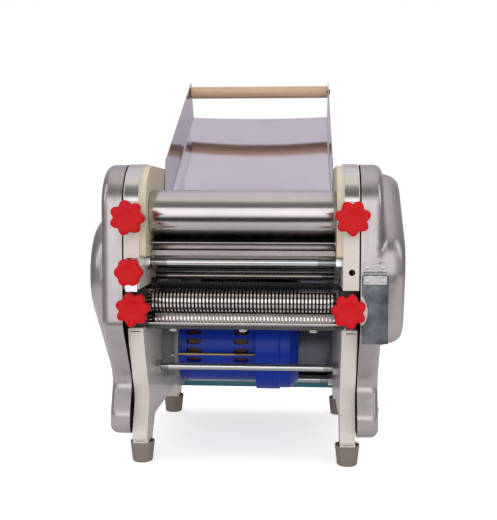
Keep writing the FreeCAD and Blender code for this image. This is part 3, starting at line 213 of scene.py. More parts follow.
# colour, second colour, metallic, roughness range, grain per metre, bump in mm
FINISHES = {
    "cream_paint": ((0.72, 0.67, 0.62), (0.68, 0.63, 0.575), 0, (0.26, 0.38), 900, 0.02),
    "guard_plastic": ((0.66, 0.59, 0.44), (0.63, 0.56, 0.41), 0, (0.34, 0.46), 1400, 0.015),
    "stainless": ((0.46, 0.43, 0.435), (0.40, 0.375, 0.38), 1, (0.26, 0.36), (260, 30, 30), 0.006),
    "polished_sheet": ((0.60, 0.575, 0.62), (0.57, 0.545, 0.59), 1, (0.05, 0.12), (900, 40, 40), 0.002),
    # nearly black polished steel: a painted dark reflection on the rear panel
    "rear_panel": ((0.095, 0.104, 0.122), (0.07, 0.078, 0.095), 1, (0.06, 0.14), (40, 40, 900), 0.003),
    "band_sheet": ((0.60, 0.59, 0.57), (0.55, 0.545, 0.53), 1, (0.12, 0.20), (40, 900, 40), 0.003),
    "polished_steel": ((0.52, 0.50, 0.50), (0.47, 0.455, 0.455), 1, (0.14, 0.22), (60, 1600, 1600), 0.004),
    # a darker copy of polished_steel: painted shade on the rear roller and the second tie rod
    "shaded_steel": ((0.27, 0.245, 0.24), (0.21, 0.19, 0.185), 1, (0.16, 0.28), (60, 1600, 1600), 0.004),
    "blade_steel": ((0.30, 0.28, 0.28), (0.24, 0.225, 0.22), 1, (0.22, 0.36), (60, 900, 900), 0.004),
    "zinc": ((0.58, 0.62, 0.65), (0.62, 0.62, 0.60), 1, (0.16, 0.27), 300, 0.002),
    "blue_zinc": ((0.48, 0.56, 0.62), (0.54, 0.58, 0.60), 1, (0.16, 0.27), 300, 0.002),
    "leaf_zinc": ((0.33, 0.33, 0.33), (0.42, 0.42, 0.41), 1, (0.24, 0.38), 400, 0.004),
    "zinc_sheet": ((0.045, 0.052, 0.066), (0.14, 0.15, 0.17), 1, (0.22, 0.42), (60, 400, 60), 0.006),
    "dark_steel": ((0.045, 0.045, 0.047), (0.08, 0.078, 0.076), 0.8, (0.32, 0.5), 400, 0.01),
    "black_comb": ((0.012, 0.012, 0.012), (0.02, 0.02, 0.02), 0.4, (0.35, 0.5), 400, 0.01),
    "bright_comb": ((0.62, 0.60, 0.60), (0.52, 0.50, 0.50), 1, (0.18, 0.3), 700, 0.004),
    "gear_steel": ((0.38, 0.38, 0.39), (0.30, 0.30, 0.30), 1, (0.25, 0.45), (500, 80, 80), 0.01),
    "bronze": ((0.55, 0.38, 0.18), (0.46, 0.31, 0.15), 1, (0.28, 0.42), 600, 0.01),
    "brass_bolt": ((0.50, 0.36, 0.17), (0.42, 0.31, 0.17), 1, (0.25, 0.4), 400, 0.004),
    "copper_wire": ((0.10, 0.035, 0.02), (0.03, 0.02, 0.018), 0.6, (0.3, 0.5), (40, 1800, 1800), 0.2),
    "cast_iron": ((0.20, 0.20, 0.21), (0.27, 0.27, 0.28), 0.9, (0.4, 0.6), 700, 0.03),
    "belt_rubber": ((0.025, 0.025, 0.025), (0.045, 0.043, 0.04), 0, (0.6, 0.8), 900, 0.04),
    "motor_blue": ((0.006, 0.034, 0.36), (0.008, 0.044, 0.42), 0, (0.24, 0.34), 900, 0.006),
    "motor_grey": ((0.22, 0.22, 0.23), (0.28, 0.28, 0.285), 0.3, (0.4, 0.55), 500, 0.02),
    "red_plastic": ((0.62, 0.006, 0.010), (0.57, 0.005, 0.009), 0, (0.30, 0.42), 1100, 0.006),
    "foot_rubber": ((0.25, 0.215, 0.185), (0.21, 0.18, 0.155), 0, (0.55, 0.75), 1200, 0.03),
    "film": ((0.012, 0.19, 0.29), (0.02, 0.24, 0.35), 0, (0.2, 0.35), (30, 30, 200), 0.06),
    "black_plastic": ((0.02, 0.02, 0.021), (0.03, 0.03, 0.03), 0, (0.38, 0.5), 1500, 0.02),
    "black_steel": ((0.03, 0.03, 0.032), (0.05, 0.05, 0.052), 0.6, (0.3, 0.45), 900, 0.01),
}
MORE = {
    "cream_paint": dict(speckle=(2600, 0.72, (0.60, 0.55, 0.47), 0.35), coat=0.15),
    "zinc": dict(patch=60),
    "blue_zinc": dict(patch=90),
    "leaf_zinc": dict(patch=120),
    "zinc_sheet": dict(patch=40),
    "gear_steel": dict(patch=50),
    "brass_bolt": dict(patch=80),
    "copper_wire": dict(patch=160),
    "cast_iron": dict(patch=50),
    "motor_blue": dict(spec=0.2),
    "red_plastic": dict(spec=0.14),
    "film": dict(coat=0.4),
}
MATERIALS = {name: finish_of(name, *row, **MORE.get(name, {})) for name, row in FINISHES.items()}


def disc_steel(name, y, z):
    """Bright disc edges over grooves darkened as painted shade, on the cutter roller whose axis runs through
    y, z.
    """
    n = Nodes(name)
    groove, edge = 12.8 * MM, 14.7 * MM
    place, axis = n.split(n.place), at(0, y, z)
    across = [n.maths("POWER", n.maths("SUBTRACT", place[label], middle), 2)
              for label, middle in (("Y", axis.y), ("Z", axis.z))]
    height = n.spread(n.maths("ADD", *across), groove ** 2, edge ** 2)
    bright = n.drift((0.74, 0.71, 0.69), (0.62, 0.59, 0.57), 60, detail=3)
    # the base colour goes dark towards the grooves' bottoms: painted shade between the discs
    n.link(n.mix(height, (0.05, 0.045, 0.042), bright), n.shader.inputs["Base Color"])
    n.shader.inputs["Metallic"].default_value = 1
    n.grained((0.16, 0.28), n.noise(700, detail=4), 0.004)
    return n.material


def wood():
    """Pale turned wood, its grain, rings and pores running along X."""
    n = Nodes("wood")
    grain = n.noise((18, 420, 420), detail=6, rough=0.62, distortion=0.6)
    rings = n.noise((6, 130, 130), detail=2, rough=0.4)
    pores = n.noise((120, 2600, 2600), detail=2)
    tone = n.mix(n.spread(grain, 0.35, 0.68), (0.60, 0.40, 0.27), (0.44, 0.27, 0.17))
    tone = n.mix(n.spread(rings, 0.42, 0.62, 0, 0.55), tone, (0.66, 0.47, 0.33))
    tone = n.mix(n.spread(pores, 0.62, 0.72, 0, 0.6), tone, (0.30, 0.17, 0.10))
    n.link(tone, n.shader.inputs["Base Color"])
    n.link(n.spread(grain, 0.3, 0.7, 0.5, 0.68), n.shader.inputs["Roughness"])
    n.link(n.bump(pores, 0.12 * MM, below=n.bump(grain, 0.15 * MM)), n.shader.inputs["Normal"])
    return n.material


MATERIALS["wood"] = wood()
MATERIALS["upper_discs"] = disc_steel("upper_discs", 58.2, 221)
MATERIALS["lower_discs"] = disc_steel("lower_discs", 68.05, 195.86)

SLOT_OF = {part["node"]: part["material_slot"] for part in frame["record"]["subparts"]}
LOOK_OF = {
    "rear_panel": "rear_panel", "head_bands": "band_sheet", "front_scraper": "blade_steel",
    "rear_scraper": "blade_steel", "upper_cutter_roller": "upper_discs",
    "lower_cutter_roller": "lower_discs", "upper_comb": "black_comb", "lower_comb": "bright_comb",
    "motor_stator": "copper_wire", "hinge_upper_leaf": "leaf_zinc", "flap_hinge_leaf": "leaf_zinc"}

for node, item in frame["nodes"].items():
    item.data.materials.clear()
    item.data.materials.append(MATERIALS[LOOK_OF.get(node, SLOT_OF[node])])

# ---------------------------------------------------------------- mesh helpers


class Shape:
    """Vertices and faces gathered from several solids, in the part's frame."""

    def __init__(self):
        self.points = []
        self.faces = []

    def add(self, points, faces, matrix=None):
        base = len(self.points)
        self.points += [matrix @ Vector(point) if matrix else Vector(point) for point in points]
        self.faces += [[base + index for index in face] for face in faces]
        return self

    def piece(self, name, body, slot, replaces=(), look=None, sharp=35):
        mesh = bpy.data.meshes.new(name)
        mesh.from_pydata(self.points, [], self.faces)
        mesh.validate()
        work = bmesh.new()
        work.from_mesh(mesh)
        bmesh.ops.recalc_face_normals(work, faces=work.faces)
        mark_sharp(work, sharp)
        work.to_mesh(mesh)
        work.free()
        shown(name, mesh, body, slot, replaces, look)


def mark_sharp(work, angle):
    """Shade smooth, apart from edges that turn by more than an angle in degrees."""
    limit = math.radians(angle)
    for face in work.faces:
        face.smooth = True
    for edge in work.edges:
        edge.smooth = len(edge.link_faces) == 2 and edge.calc_face_angle(0) < limit


def shown(name, mesh, body, slot, replaces=(), look=None):
    """A new piece of the object, riding on a body; its look is its slot's unless another is given."""
    piece = bpy.data.objects.new(name, mesh)
    bpy.context.scene.collection.objects.link(piece)
    mesh.materials.append(MATERIALS[look or slot])
    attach(piece, body)
    for node in replaces:
        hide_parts(node)
    return piece


def facing(place, direction, turn=0.0):
    """Matrix that stands local +Z along direction at place, from millimetres."""
    matrix = Vector((0, 0, 1)).rotation_difference(Vector(direction)).to_matrix().to_4x4()
    return Matrix.Translation(place) @ matrix @ Matrix.Rotation(turn, 4, "Z") @ Matrix.Scale(MM, 4)


def revolved(profile, count):
    """Points and faces of (radius, height) pairs turned about local Z; a radius of 0 closes an end."""
    points, rings = [], []
    for radius, height in profile:
        if radius < 1e-6:
            rings.append([len(points)])
            points.append((0, 0, height))
            continue
        rings.append(list(range(len(points), len(points) + count)))
        for step in range(count):
            angle = 2 * math.pi * step / count
            points.append((radius * math.cos(angle), radius * math.sin(angle), height))
    return points, ring_faces(rings, count)


def ring_faces(rings, count):
    """The faces between each ring of points and the next; a ring of one point is a tip."""
    faces = []
    for low, high in zip(rings, rings[1:]):
        for step in range(count):
            following = (step + 1) % count
            if len(low) == 1 and len(high) == 1:
                continue
            if len(low) == 1:
                faces.append((low[0], high[following], high[step]))
            elif len(high) == 1:
                faces.append((low[step], low[following], high[0]))
            else:
                faces.append((low[step], low[following], high[following], high[step]))
    return faces


def softened(profile, radius):
    """The same open profile with its sharp corners rounded; the ends stay."""
    steps = 3
    out = [profile[0]]
    for before, here, after in zip(profile, profile[1:], profile[2:]):
        a = Vector(before) - Vector(here)
        b = Vector(after) - Vector(here)
        cut = min(radius, a.length * 0.45, b.length * 0.45)
        straight = a.length < 1e-9 or b.length < 1e-9 or a.normalized().dot(b.normalized()) < -0.999
        if cut < 1e-6 or straight:
            out.append(here)
            continue
        start = Vector(here) + a.normalized() * cut
        end = Vector(here) + b.normalized() * cut
        for step in range(steps + 1):
            t = step / steps
            point = start * (1 - t) ** 2 + Vector(here) * 2 * t * (1 - t) + end * t * t
            out.append(tuple(point))
    out.append(profile[-1])
    return out


def along_x(y, z):
    """Matrix that stands local +Z along X, on the line through y, z."""
    return facing(at(0, y, z), (1, 0, 0))


def bevelled(node, width_mm):
    """A copy of a CAD node with its corners rounded, which stands for the node."""
    source = frame["nodes"][node]
    work = bmesh.new()
    work.from_mesh(source.data)
    bmesh.ops.remove_doubles(work, verts=work.verts, dist=2e-6)
    bmesh.ops.dissolve_limit(work, angle_limit=math.radians(0.4), verts=work.verts, edges=work.edges)
    mark_sharp(work, 30)
    mesh = bpy.data.meshes.new(node + "_shape")
    work.to_mesh(mesh)
    work.free()
    piece = shown(node + "_shape", mesh, source["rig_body"], SLOT_OF[node], [node], LOOK_OF.get(node))
    bevel = piece.modifiers.new("edges", "BEVEL")
    bevel.width = width_mm * MM
    bevel.segments = 2
    bevel.limit_method = "ANGLE"
    bevel.angle_limit = math.radians(32)
    bevel.harden_normals = True
    bevel.use_clamp_overlap = True


# ---------------------------------------------------------------- parts with rounded corners, in millimetres

ROUNDING = {
    "left_side_frame": 0.7, "right_side_frame": 0.7, "roller_guards": 1.0, "latch_plate": 0.4, "flap": 0.35,
    "hinge_upper_leaf": 0.25, "flap_hinge_leaf": 0.2, "cutter_bar": 0.6, "cutter_end_blocks": 0.8,
    "head_bands": 0.25, "switch_housing": 0.6, "switch_rocker": 0.8, "motor_housing": 0.8,
    "front_scraper": 0.2, "rear_scraper": 0.2, "bearing_slides": 0.6}
for node, width in ROUNDING.items():
    bevelled(node, width)

# ---------------------------------------------------------------- rollers

FRONT = (48.0, 337.0)                       # y, z of the front roller's axis
ROLLERS_APART, LEAN = 60.5, math.radians(49.6)
REAR = (FRONT[0] + ROLLERS_APART * math.cos(LEAN), FRONT[1] - ROLLERS_APART * math.sin(LEAN))


def dough_roller(name, body, place, right_end, look):
    """A smooth barrel with its two journals."""
    journal, barrel, half, left_end = 10, 30, 119.6, -162
    profile = [(0, left_end), (journal, left_end), (journal, -half), (barrel, -half), (barrel, half),
               (journal, half), (journal, right_end), (0, right_end)]
    shape = Shape().add(*revolved(softened(profile, 0.8), 128), along_x(*place))
    shape.piece(name + "_shape", body, "polished_steel", [name], look)


dough_roller("front_roller", "front_roller_unit", FRONT, 146, "polished_steel")
# the rear roller's darker steel is painted shade
dough_roller("rear_roller", "rear_roller_unit", REAR, 195, "shaded_steel")

# ---------------------------------------------------------------- tie rods, nuts and screws

WEB = 128                                   # inner face of each side frame
RODS = (                                    # y, z, radius, threaded length inside the frames
    (40, 273.3, 5, 30), (84, 252, 5, 24), (118, 121, 5, 20), (345, 57, 5, 20))


def thread(radius, start, end, pitch=1.25):
    """Profile of a threaded stretch: ridges between start and end."""
    root, crest = radius - 0.6 * pitch, radius - 0.05
    out = []
    for index in range(int((end - start) / pitch)):
        low = start + index * pitch
        out += [(root, low), (root, low + pitch * 0.2)]
        out += [(crest, low + pitch * 0.55), (crest, low + pitch * 0.75)]
    return out


def tie_rods():
    """The four rods; the second, which stands in the rollers' shade, has a darker copy of their steel as
    painted shade.
    """
    reach, pitch = 139.0, 1.6
    bright, shaded_rod = Shape(), Shape()
    for index, (y, z, radius, threaded) in enumerate(RODS):
        plain = WEB - threaded
        profile = [(0, -reach), (radius - 0.8, -reach), (radius - 0.3, -reach + 0.6)]
        profile += thread(radius, -reach + 1, -plain, pitch)
        profile += [(radius - 0.25, -plain + 0.5), (radius - 0.25, plain - 0.5)]
        profile += thread(radius, plain, reach - 1, pitch)
        profile += [(radius - 0.3, reach - 0.6), (radius - 0.8, reach), (0, reach)]
        (shaded_rod if index == 1 else bright).add(*revolved(profile, 40), along_x(y, z))
    bright.piece("tie_rods_shape", "machine", "zinc", ["tie_rods"], sharp=50)
    shaded_rod.piece("shaded_tie_rod_shape", "machine", "zinc", look="shaded_steel", sharp=50)


def nut(across, thick, bore):
    """A chamfered hexagon nut on local Z, from 0 to thick."""
    count, chamfer = 72, 0.55
    flat = across / 2
    crown = flat * 1.02
    rings, points = [], []

    def ring(radius_at, height_at):
        rings.append(list(range(len(points), len(points) + count)))
        for step in range(count):
            angle = 2 * math.pi * step / count
            hexed = flat / math.cos((angle % (math.pi / 3)) - math.pi / 6)
            radius = radius_at(hexed)
            points.append((radius * math.cos(angle), radius * math.sin(angle), height_at(hexed)))

    ring(lambda h: bore, lambda h: 0.6)
    ring(lambda h: bore + 0.5, lambda h: 0)
    ring(lambda h: min(h, crown) - 0.2, lambda h: 0)
    ring(lambda h: h, lambda h: 0.1 + max(0, h - crown) * chamfer)
    ring(lambda h: h, lambda h: thick - 0.1 - max(0, h - crown) * chamfer)
    ring(lambda h: min(h, crown) - 0.2, lambda h: thick)
    ring(lambda h: bore + 0.5, lambda h: thick)
    ring(lambda h: bore, lambda h: thick - 0.6)
    rings.append(rings[0])
    return points, ring_faces(rings, count)


def tie_rod_nuts():
    """A nut on each side of each frame, on every rod."""
    shape = Shape()
    across, thick = 17, 8
    for index, (y, z, radius, _) in enumerate(RODS):
        for side in (1, -1):
            for start in (WEB - thick, WEB + 2):
                x = start if side > 0 else -start - thick
                turn = 0.3 + 0.8 * index + start
                shape.add(*nut(across, thick, radius - 0.3), facing(at(x, y, z), (1, 0, 0), turn))
    shape.piece("tie_rod_nuts_shape", "machine", "zinc", ["tie_rod_nuts"], sharp=28)


def pan_head(radius, height):
    """A domed screw head on local Z with a cross recess."""
    count, side_rings, rings = 48, 5, 16
    arm, reach = radius * 0.17, radius * 0.6
    edge = height * 0.45
    levels = []
    for index in range(side_rings):
        angle = math.radians(90) * index / side_rings
        levels.append((radius - edge * (1 - math.cos(angle)), edge + edge * math.sin(angle)))
    for index in range(side_rings, rings):
        t = (index - side_rings) / (rings - side_rings)
        levels.append(((radius - edge) * (1 - t), height * (0.9 + 0.1 * (1 - (1 - t) ** 2))))
    angles = [2 * math.pi * step / count for step in range(count)]
    around = [(math.cos(angle), math.sin(angle)) for angle in angles]
    loops = [list(range(count))]
    points = [(radius * x, radius * y, 0) for x, y in around]
    for r, level in levels:
        loops.append(list(range(len(points), len(points) + count)))
        for x, y in around:
            low, high = sorted((abs(r * x), abs(r * y)))
            across = min(max(arm - low, 0) / (arm * 0.35), 1)
            along = min(max(reach - high, 0) / (reach * 0.15), 1)
            points.append((r * x, r * y, level - across * along * height * 0.5))
    loops.append([len(points)])
    loops.insert(0, [len(points) + 1])
    points += [(0, 0, height * 0.5), (0, 0, 0)]
    return points, ring_faces(loops, count)


def screws():
    """The screws of the covers, of the flap's hinge and of the bar under the cutters."""
    covers = Shape()
    for y, z in ((60, 372), (300, 330), (345, 120), (70, 75)):
        for side in (1, -1):
            covers.add(*pan_head(4, 2.2), facing(at(side * 178, y, z), (side, 0, 0), 0.4 + y))
    for x in (158, 177):
        covers.add(*pan_head(2.6, 1.4), facing(at(x, -1.2, 271), (0, -1, 0), x))
    covers.piece("cover_screws_shape", "machine", "zinc", ["cover_screws"], "blue_zinc")
    flap = Shape()
    for x in (158, 177):
        flap.add(*pan_head(2.4, 1.2), facing(at(x, -3.6, 254.7), (0, -1, 0), x * 3))
    flap.piece("flap_screws_shape", "flap_unit", "zinc", ["flap_screws"], "blue_zinc")
    bar = Shape()
    for x in (-92, 0, 92):
        bar.add(*pan_head(6, 4.2), facing(at(x, 44, 185.7), (0, 0, -1), x))
    bar.piece("cutter_bar_screws_shape", "cutter_cartridge", "zinc", ["cutter_bar_screws"])


tie_rods()
tie_rod_nuts()
screws()

# ---------------------------------------------------------------- knobs


def lobed(lobes, outer, inner, depth, turn, place):
    """A moulded knob head facing forward: wide rounded lobes, a soft front edge and a dished face."""
    count = lobes * 28
    edge, rim = 3.0, depth - 3.2
    # fraction of the radius, what is added to it, and height
    levels = [(0.45, -2.5, 0.0), (1.0, -1.4, 0), (1.0, -0.5, 0), (1.0, 0, 0.8), (1.0, 0, rim)]
    for step in range(1, 7):
        angle = math.radians(90) * step / 6
        levels.append((1.0, -edge * (1 - math.cos(angle)), rim + edge * math.sin(angle)))
    levels += [(fraction, -edge, depth - dish)
               for fraction, dish in ((0.78, 0.05), (0.66, 0.15), (0.60, 0.45), (0.2, 0.5))]
    rings, points = [], []
    for fraction, grow, height in levels:
        rings.append(list(range(len(points), len(points) + count)))
        for step in range(count):
            angle = 2 * math.pi * step / count
            wave = (0.5 + 0.5 * math.cos(lobes * angle)) ** 0.62
            radius = inner + (outer - inner) * wave + grow
            if fraction < 1:
                blend = max(0.0, (fraction - 0.6) / 0.4)
                radius = radius * blend * fraction + (1 - blend) * fraction * (inner + grow + 1.5)
            points.append((radius * math.cos(angle + turn), radius * math.sin(angle + turn), height))
    rings.append([len(points)])
    points.append((0, 0, depth - 0.5))
    rings.insert(0, [len(points)])
    points.append((0, 0, 0))
    return Shape().add(points, ring_faces(rings, count), facing(place, (0, -1, 0)))


def stud(screw_radius, length, big, small, place):
    """The steel boss and threaded stud behind a knob."""
    profile = [(0, 0.2), (big, 0.2), (big, 1.2), (small, 5), (screw_radius, 5)]
    profile = softened(profile, 0.5) + thread(screw_radius, 5.2, length - 0.8)
    profile += [(screw_radius - 0.8, length), (0, length)]
    return Shape().add(*revolved(profile, 40), facing(place, (0, 1, 0)))


def knob(node, x, z, lobes, outer, inner, front_y, depth, turn, screw_radius, screw_end_y):
    """A knob on its stud: its radii over and between the lobes, its turn in degrees, and its stud's size."""
    back = front_y + depth
    head = lobed(lobes, outer, inner, depth, math.radians(turn), at(x, back, z))
    head.piece(node + "_head", node + "_unit", "red_plastic", [node], sharp=60)
    steel = stud(screw_radius, screw_end_y - back, outer * 0.6, outer * 0.38, at(x, back, z))
    steel.piece(node + "_stud", node + "_unit", "red_plastic", look="zinc", sharp=50)


for label, side, turn in (("left", -1, -2), ("right", 1, 14)):
    knob(label + "_gap_knob", side * 138, 332, 7, 22, 17.2, -30, 13, turn, 4, 31)
    knob(label + "_cutter_knob", side * 135, 216.5, 7, 22, 17.2, -15, 13, turn + 8, 3, 46)
knob("latch_knob", -138, 264, 6, 18, 15.2, -24, 11, 0, 3.5, 12)

# ---------------------------------------------------------------- feet


def feet():
    """Four tapered rubber feet, hollow at the top."""
    shape = Shape()
    profile = [(0, 0.8), (8, 0.8), (9, 0), (12.2, 0), (13.5, 1.5), (16.5, 28), (14, 28), (13.4, 23), (0, 23)]
    foot = revolved(softened(profile, 0.9), 72)
    for side in (1, -1):
        for y in (69.5, 348):
            shape.add(*foot, facing(at(side * 138.5, y, 0), (0, 0, 1)))
    shape.piece("rubber_feet_shape", "machine", "foot_rubber", ["rubber_feet"])


feet()

# ---------------------------------------------------------------- covers

STEP = 3.0                                  # spacing of the points along an outline


def arc(centre, radius, start, sweep, parts):
    """Points of a circle's arc, its two ends among them."""
    angles = [start + sweep * t / parts for t in range(parts + 1)]
    return [centre + radius * Vector((math.cos(angle), math.sin(angle))) for angle in angles]


def between(start, end):
    """Points of the straight run between two points, without its ends."""
    parts = max(1, int((end - start).length / STEP))
    return [start.lerp(end, t / parts) for t in range(1, parts)]


def rounded_outline(points):
    """A closed outline from (y, z, corner radius) corners."""
    corners = []
    for index, (y, z, radius) in enumerate(points):
        here = Vector((y, z))
        before = (Vector(points[index - 1][:2]) - here).normalized()
        after = (Vector(points[(index + 1) % len(points)][:2]) - here).normalized()
        if radius == 0:
            corners.append([here])
            continue
        half = before.angle(after) / 2
        cut = radius / math.tan(half)
        centre = here + (before + after).normalized() * (radius / math.sin(half))
        start, end = here + before * cut, here + after * cut
        heading = math.atan2(start.y - centre.y, start.x - centre.x)
        sweep = math.atan2(end.y - centre.y, end.x - centre.x) - heading
        sweep = (sweep + math.pi) % (2 * math.pi) - math.pi
        corners.append(arc(centre, radius, heading, sweep, max(2, int(abs(sweep) * radius / STEP) + 1)))
    out = []
    for run, following in zip(corners, corners[1:] + corners[:1]):
        out += run + between(run[-1], following[0])
    return np.array([(p.x, p.y) for p in out])


def signed_distance(points, outline):
    """Distance from each point to a closed outline, positive inside."""
    start, end = outline, np.roll(outline, -1, axis=0)
    run = end - start
    length2 = np.maximum((run ** 2).sum(1), 1e-12)
    distance = np.full(len(points), 1e9)
    inside = np.zeros(len(points), bool)
    for a, b, r, l2 in zip(start, end, run, length2):
        t = np.clip(((points - a) @ r) / l2, 0, 1)
        distance = np.minimum(distance, np.hypot(*(points - a - t[:, None] * r).T))
        crosses = (a[1] > points[:, 1]) != (b[1] > points[:, 1])
        if abs(r[1]) > 1e-12:
            inside ^= crosses & (points[:, 0] < a[0] + r[0] * (points[:, 1] - a[1]) / r[1])
    return np.where(inside, distance, -distance)


# y, z and corner radius of each corner, in the side view
COVER = rounded_outline([
    (0, 400, 55), (0, 192, 26), (56, 113, 22), (40, 70, 20), (40, 42, 13.5), (97, 42, 13.5), (111, 66, 14),
    (300, 66, 14), (316, 42, 13.5), (370, 42, 13.5), (370, 400, 190)])
GEARS = rounded_outline([
    (104, 391, 62), (5, 300, 50), (3, 262, 40), (27, 166, 34), (300, 166, 60), (356, 250, 40),
    (356, 391, 120)])
JACKSHAFT = (150.146, 252.001)              # y, z of each shaft's axis
MOTOR = (210.0, 140.0)


def belt_outline(big, small):
    """The closed outline of circles over the jackshaft and the motor shaft, with their common tangents."""
    a, b = Vector(JACKSHAFT), Vector(MOTOR)
    line = b - a
    heading = math.atan2(line.y, line.x)
    lean = math.acos((big - small) / line.length)
    wrap = 2 * math.pi - 2 * lean
    large = arc(a, big, heading + lean, wrap, int(big * wrap / STEP))
    little = arc(b, small, heading - lean, 2 * lean, int(small * 2 * lean / STEP))
    out = large + between(large[-1], little[0]) + little + between(little[-1], large[0])
    return np.array([(p.x, p.y) for p in out])


BELT = belt_outline(83, 48)
RIM = 11.0                                  # radius of the rounded edge all round a cover
DEPTH = 28.0                                # from a cover's rim to its flat face
INNER = 150.0                               # from the mid-plane to a cover's rim
SHEET = 1.0                                 # sheet thickness
FOOT = 1.2                                  # height of the small radius at the foot of a bulge


def step_up(distance, height, foot, top):
    """Height of a drawn step at a distance inside its outline; foot and top are its curves' widths."""
    t = np.clip(distance / top, 0, 1)
    rise = height * np.sqrt(np.clip(1 - (1 - t) ** 2.2, 0, 1))
    blend = np.clip((distance + foot) / foot, 0, 1)
    return np.where(distance > 0, rise + FOOT, FOOT * blend ** 2)


def cover_height(points, bulge, step, top):
    """How far a cover's outside stands from its rim, over each point of its plan."""
    t = np.clip(signed_distance(points, COVER) / RIM, 0, 1)
    base = DEPTH - RIM + RIM * np.sqrt(np.clip(1 - (1 - t) ** 2, 0, 1))
    return base + step_up(signed_distance(points, bulge), step - FOOT, 9, top)


def offset_ring(outline, inset):
    """Points a given distance inside an outline (outside where negative), away from its folds."""
    after, before = np.roll(outline, -1, axis=0), np.roll(outline, 1, axis=0)
    turning = np.sum(outline[:, 0] * after[:, 1] - after[:, 0] * outline[:, 1])
    along = after - before
    normal = np.column_stack([-along[:, 1], along[:, 0]]) * np.sign(turning)
    normal /= np.maximum(np.linalg.norm(normal, axis=1), 1e-9)[:, None]
    moved = outline + normal * inset
    return moved[np.abs(signed_distance(moved, outline) - inset) < 0.35]


def cover_plan(bulge):
    """Triangles over a cover's side view, close together along the rim and the bulge's edge."""
    rows = [COVER]
    border = len(COVER)
    # the cover's own rings stop short of the bulge's steep edge, which has rings of its own
    for inset in (0.35, 1.2, 2.6, 4.4, 6.6, 9.0, 12.0):
        ring = offset_ring(COVER, inset)
        rows.append(ring[np.abs(signed_distance(ring, bulge) - 1.5) > 4.5])
    for inset in (-8, -4, -1.5, 0.3, 1.2, 3, 5.5, 8.5, 12, 16, 20):
        ring = offset_ring(bulge, inset)
        rows.append(ring[signed_distance(ring, COVER) > 1.2])
    spacing, closest = 7.0, 0.9
    grid_y, grid_z = np.meshgrid(np.arange(4, 370, spacing), np.arange(44, 400, spacing))
    grid = np.column_stack([grid_y.ravel(), grid_z.ravel()])
    away = (signed_distance(grid, COVER) > 14) & (np.abs(signed_distance(grid, bulge) - 6) > 16)
    points = np.vstack(rows + [grid[away]])
    _, first = np.unique(np.round(points / closest).astype(int), axis=0, return_index=True)
    points = points[sorted(set(range(border)) | set(first))]
    keep = (signed_distance(points, COVER) > 0.2) | (np.arange(len(points)) < border)
    flat = [Vector(point) for point in points[keep].tolist()]
    loop = [(index, (index + 1) % border) for index in range(border)]
    corners, _, triangles, *_ = delaunay_2d_cdt(flat, loop, [list(range(border))], 1, 1e-4)
    return np.array([(corner.x, corner.y) for corner in corners]), [list(triangle) for triangle in triangles]


def pushed_in(plan, depth):
    """The plan with whatever is nearer than depth to the cover's outline moved in to that depth."""
    short = np.clip(depth - signed_distance(plan, COVER), 0, None)
    slope = np.column_stack([signed_distance(plan + step, COVER) - signed_distance(plan - step, COVER)
                             for step in 0.05 * np.eye(2)])
    slope /= np.maximum(np.linalg.norm(slope, axis=1), 1e-9)[:, None]
    return plan + slope * short[:, None]


def open_edges(triangles):
    """The edges that only one triangle uses."""
    uses = {}
    for triangle in triangles:
        for index in range(3):
            key = frozenset((triangle[index], triangle[(index + 1) % 3]))
            uses[key] = uses.get(key, 0) + 1
    return [tuple(key) for key, times in uses.items() if times == 1]


def cover(name, side, bulge, step, top):
    """A pressed cover: its outside, its inside a sheet's thickness in, and the rim that joins them."""
    plan, triangles = cover_plan(bulge)
    heights = cover_height(plan, bulge, step, top)
    count = len(plan)
    points, faces = [], []
    layers = ((plan, heights), (pushed_in(plan, SHEET), heights - SHEET))
    for layer_plan, layer_heights in layers:
        points += [at(side * (INNER + height), y, z) for (y, z), height in zip(layer_plan, layer_heights)]
    for triangle in triangles:
        faces.append(triangle)
        faces.append([count + index for index in reversed(triangle)])
    edges = open_edges(triangles)
    walls = {}
    for index in {end for edge in edges for end in edge}:
        down, back = [index], [count + index]
        for chain, (layer_plan, _) in zip((down, back), layers):
            for height in (DEPTH - RIM - 6, 4.0, 0.0):
                chain.append(len(points))
                points.append(at(side * (INNER + height), *layer_plan[index]))
        walls[index] = down + back[::-1]
    for a, b in edges:
        first, second = walls[a], walls[b]
        for low in range(len(first) - 1):
            faces.append([first[low], second[low], second[low + 1], first[low + 1]])
    Shape().add(points, faces).piece(name + "_shape", "machine", "stainless", [name], sharp=70)


cover("left_cover", -1, BELT, 35, 22)
cover("right_cover", 1, GEARS, 29, 18)

# ---------------------------------------------------------------- tray, wooden roller and their screws

TRAY_FOOT = (112, 314.6)                    # y, z of the floor's lower end
TRAY_SLOPE = math.radians(28)


def on_tray(along, height):
    """A point of the tray: distance up its floor and height square to it."""
    return (TRAY_FOOT[0] + along * math.cos(TRAY_SLOPE) - height * math.sin(TRAY_SLOPE),
            TRAY_FOOT[1] + along * math.sin(TRAY_SLOPE) + height * math.cos(TRAY_SLOPE))


WOOD = on_tray(383, 52.5)


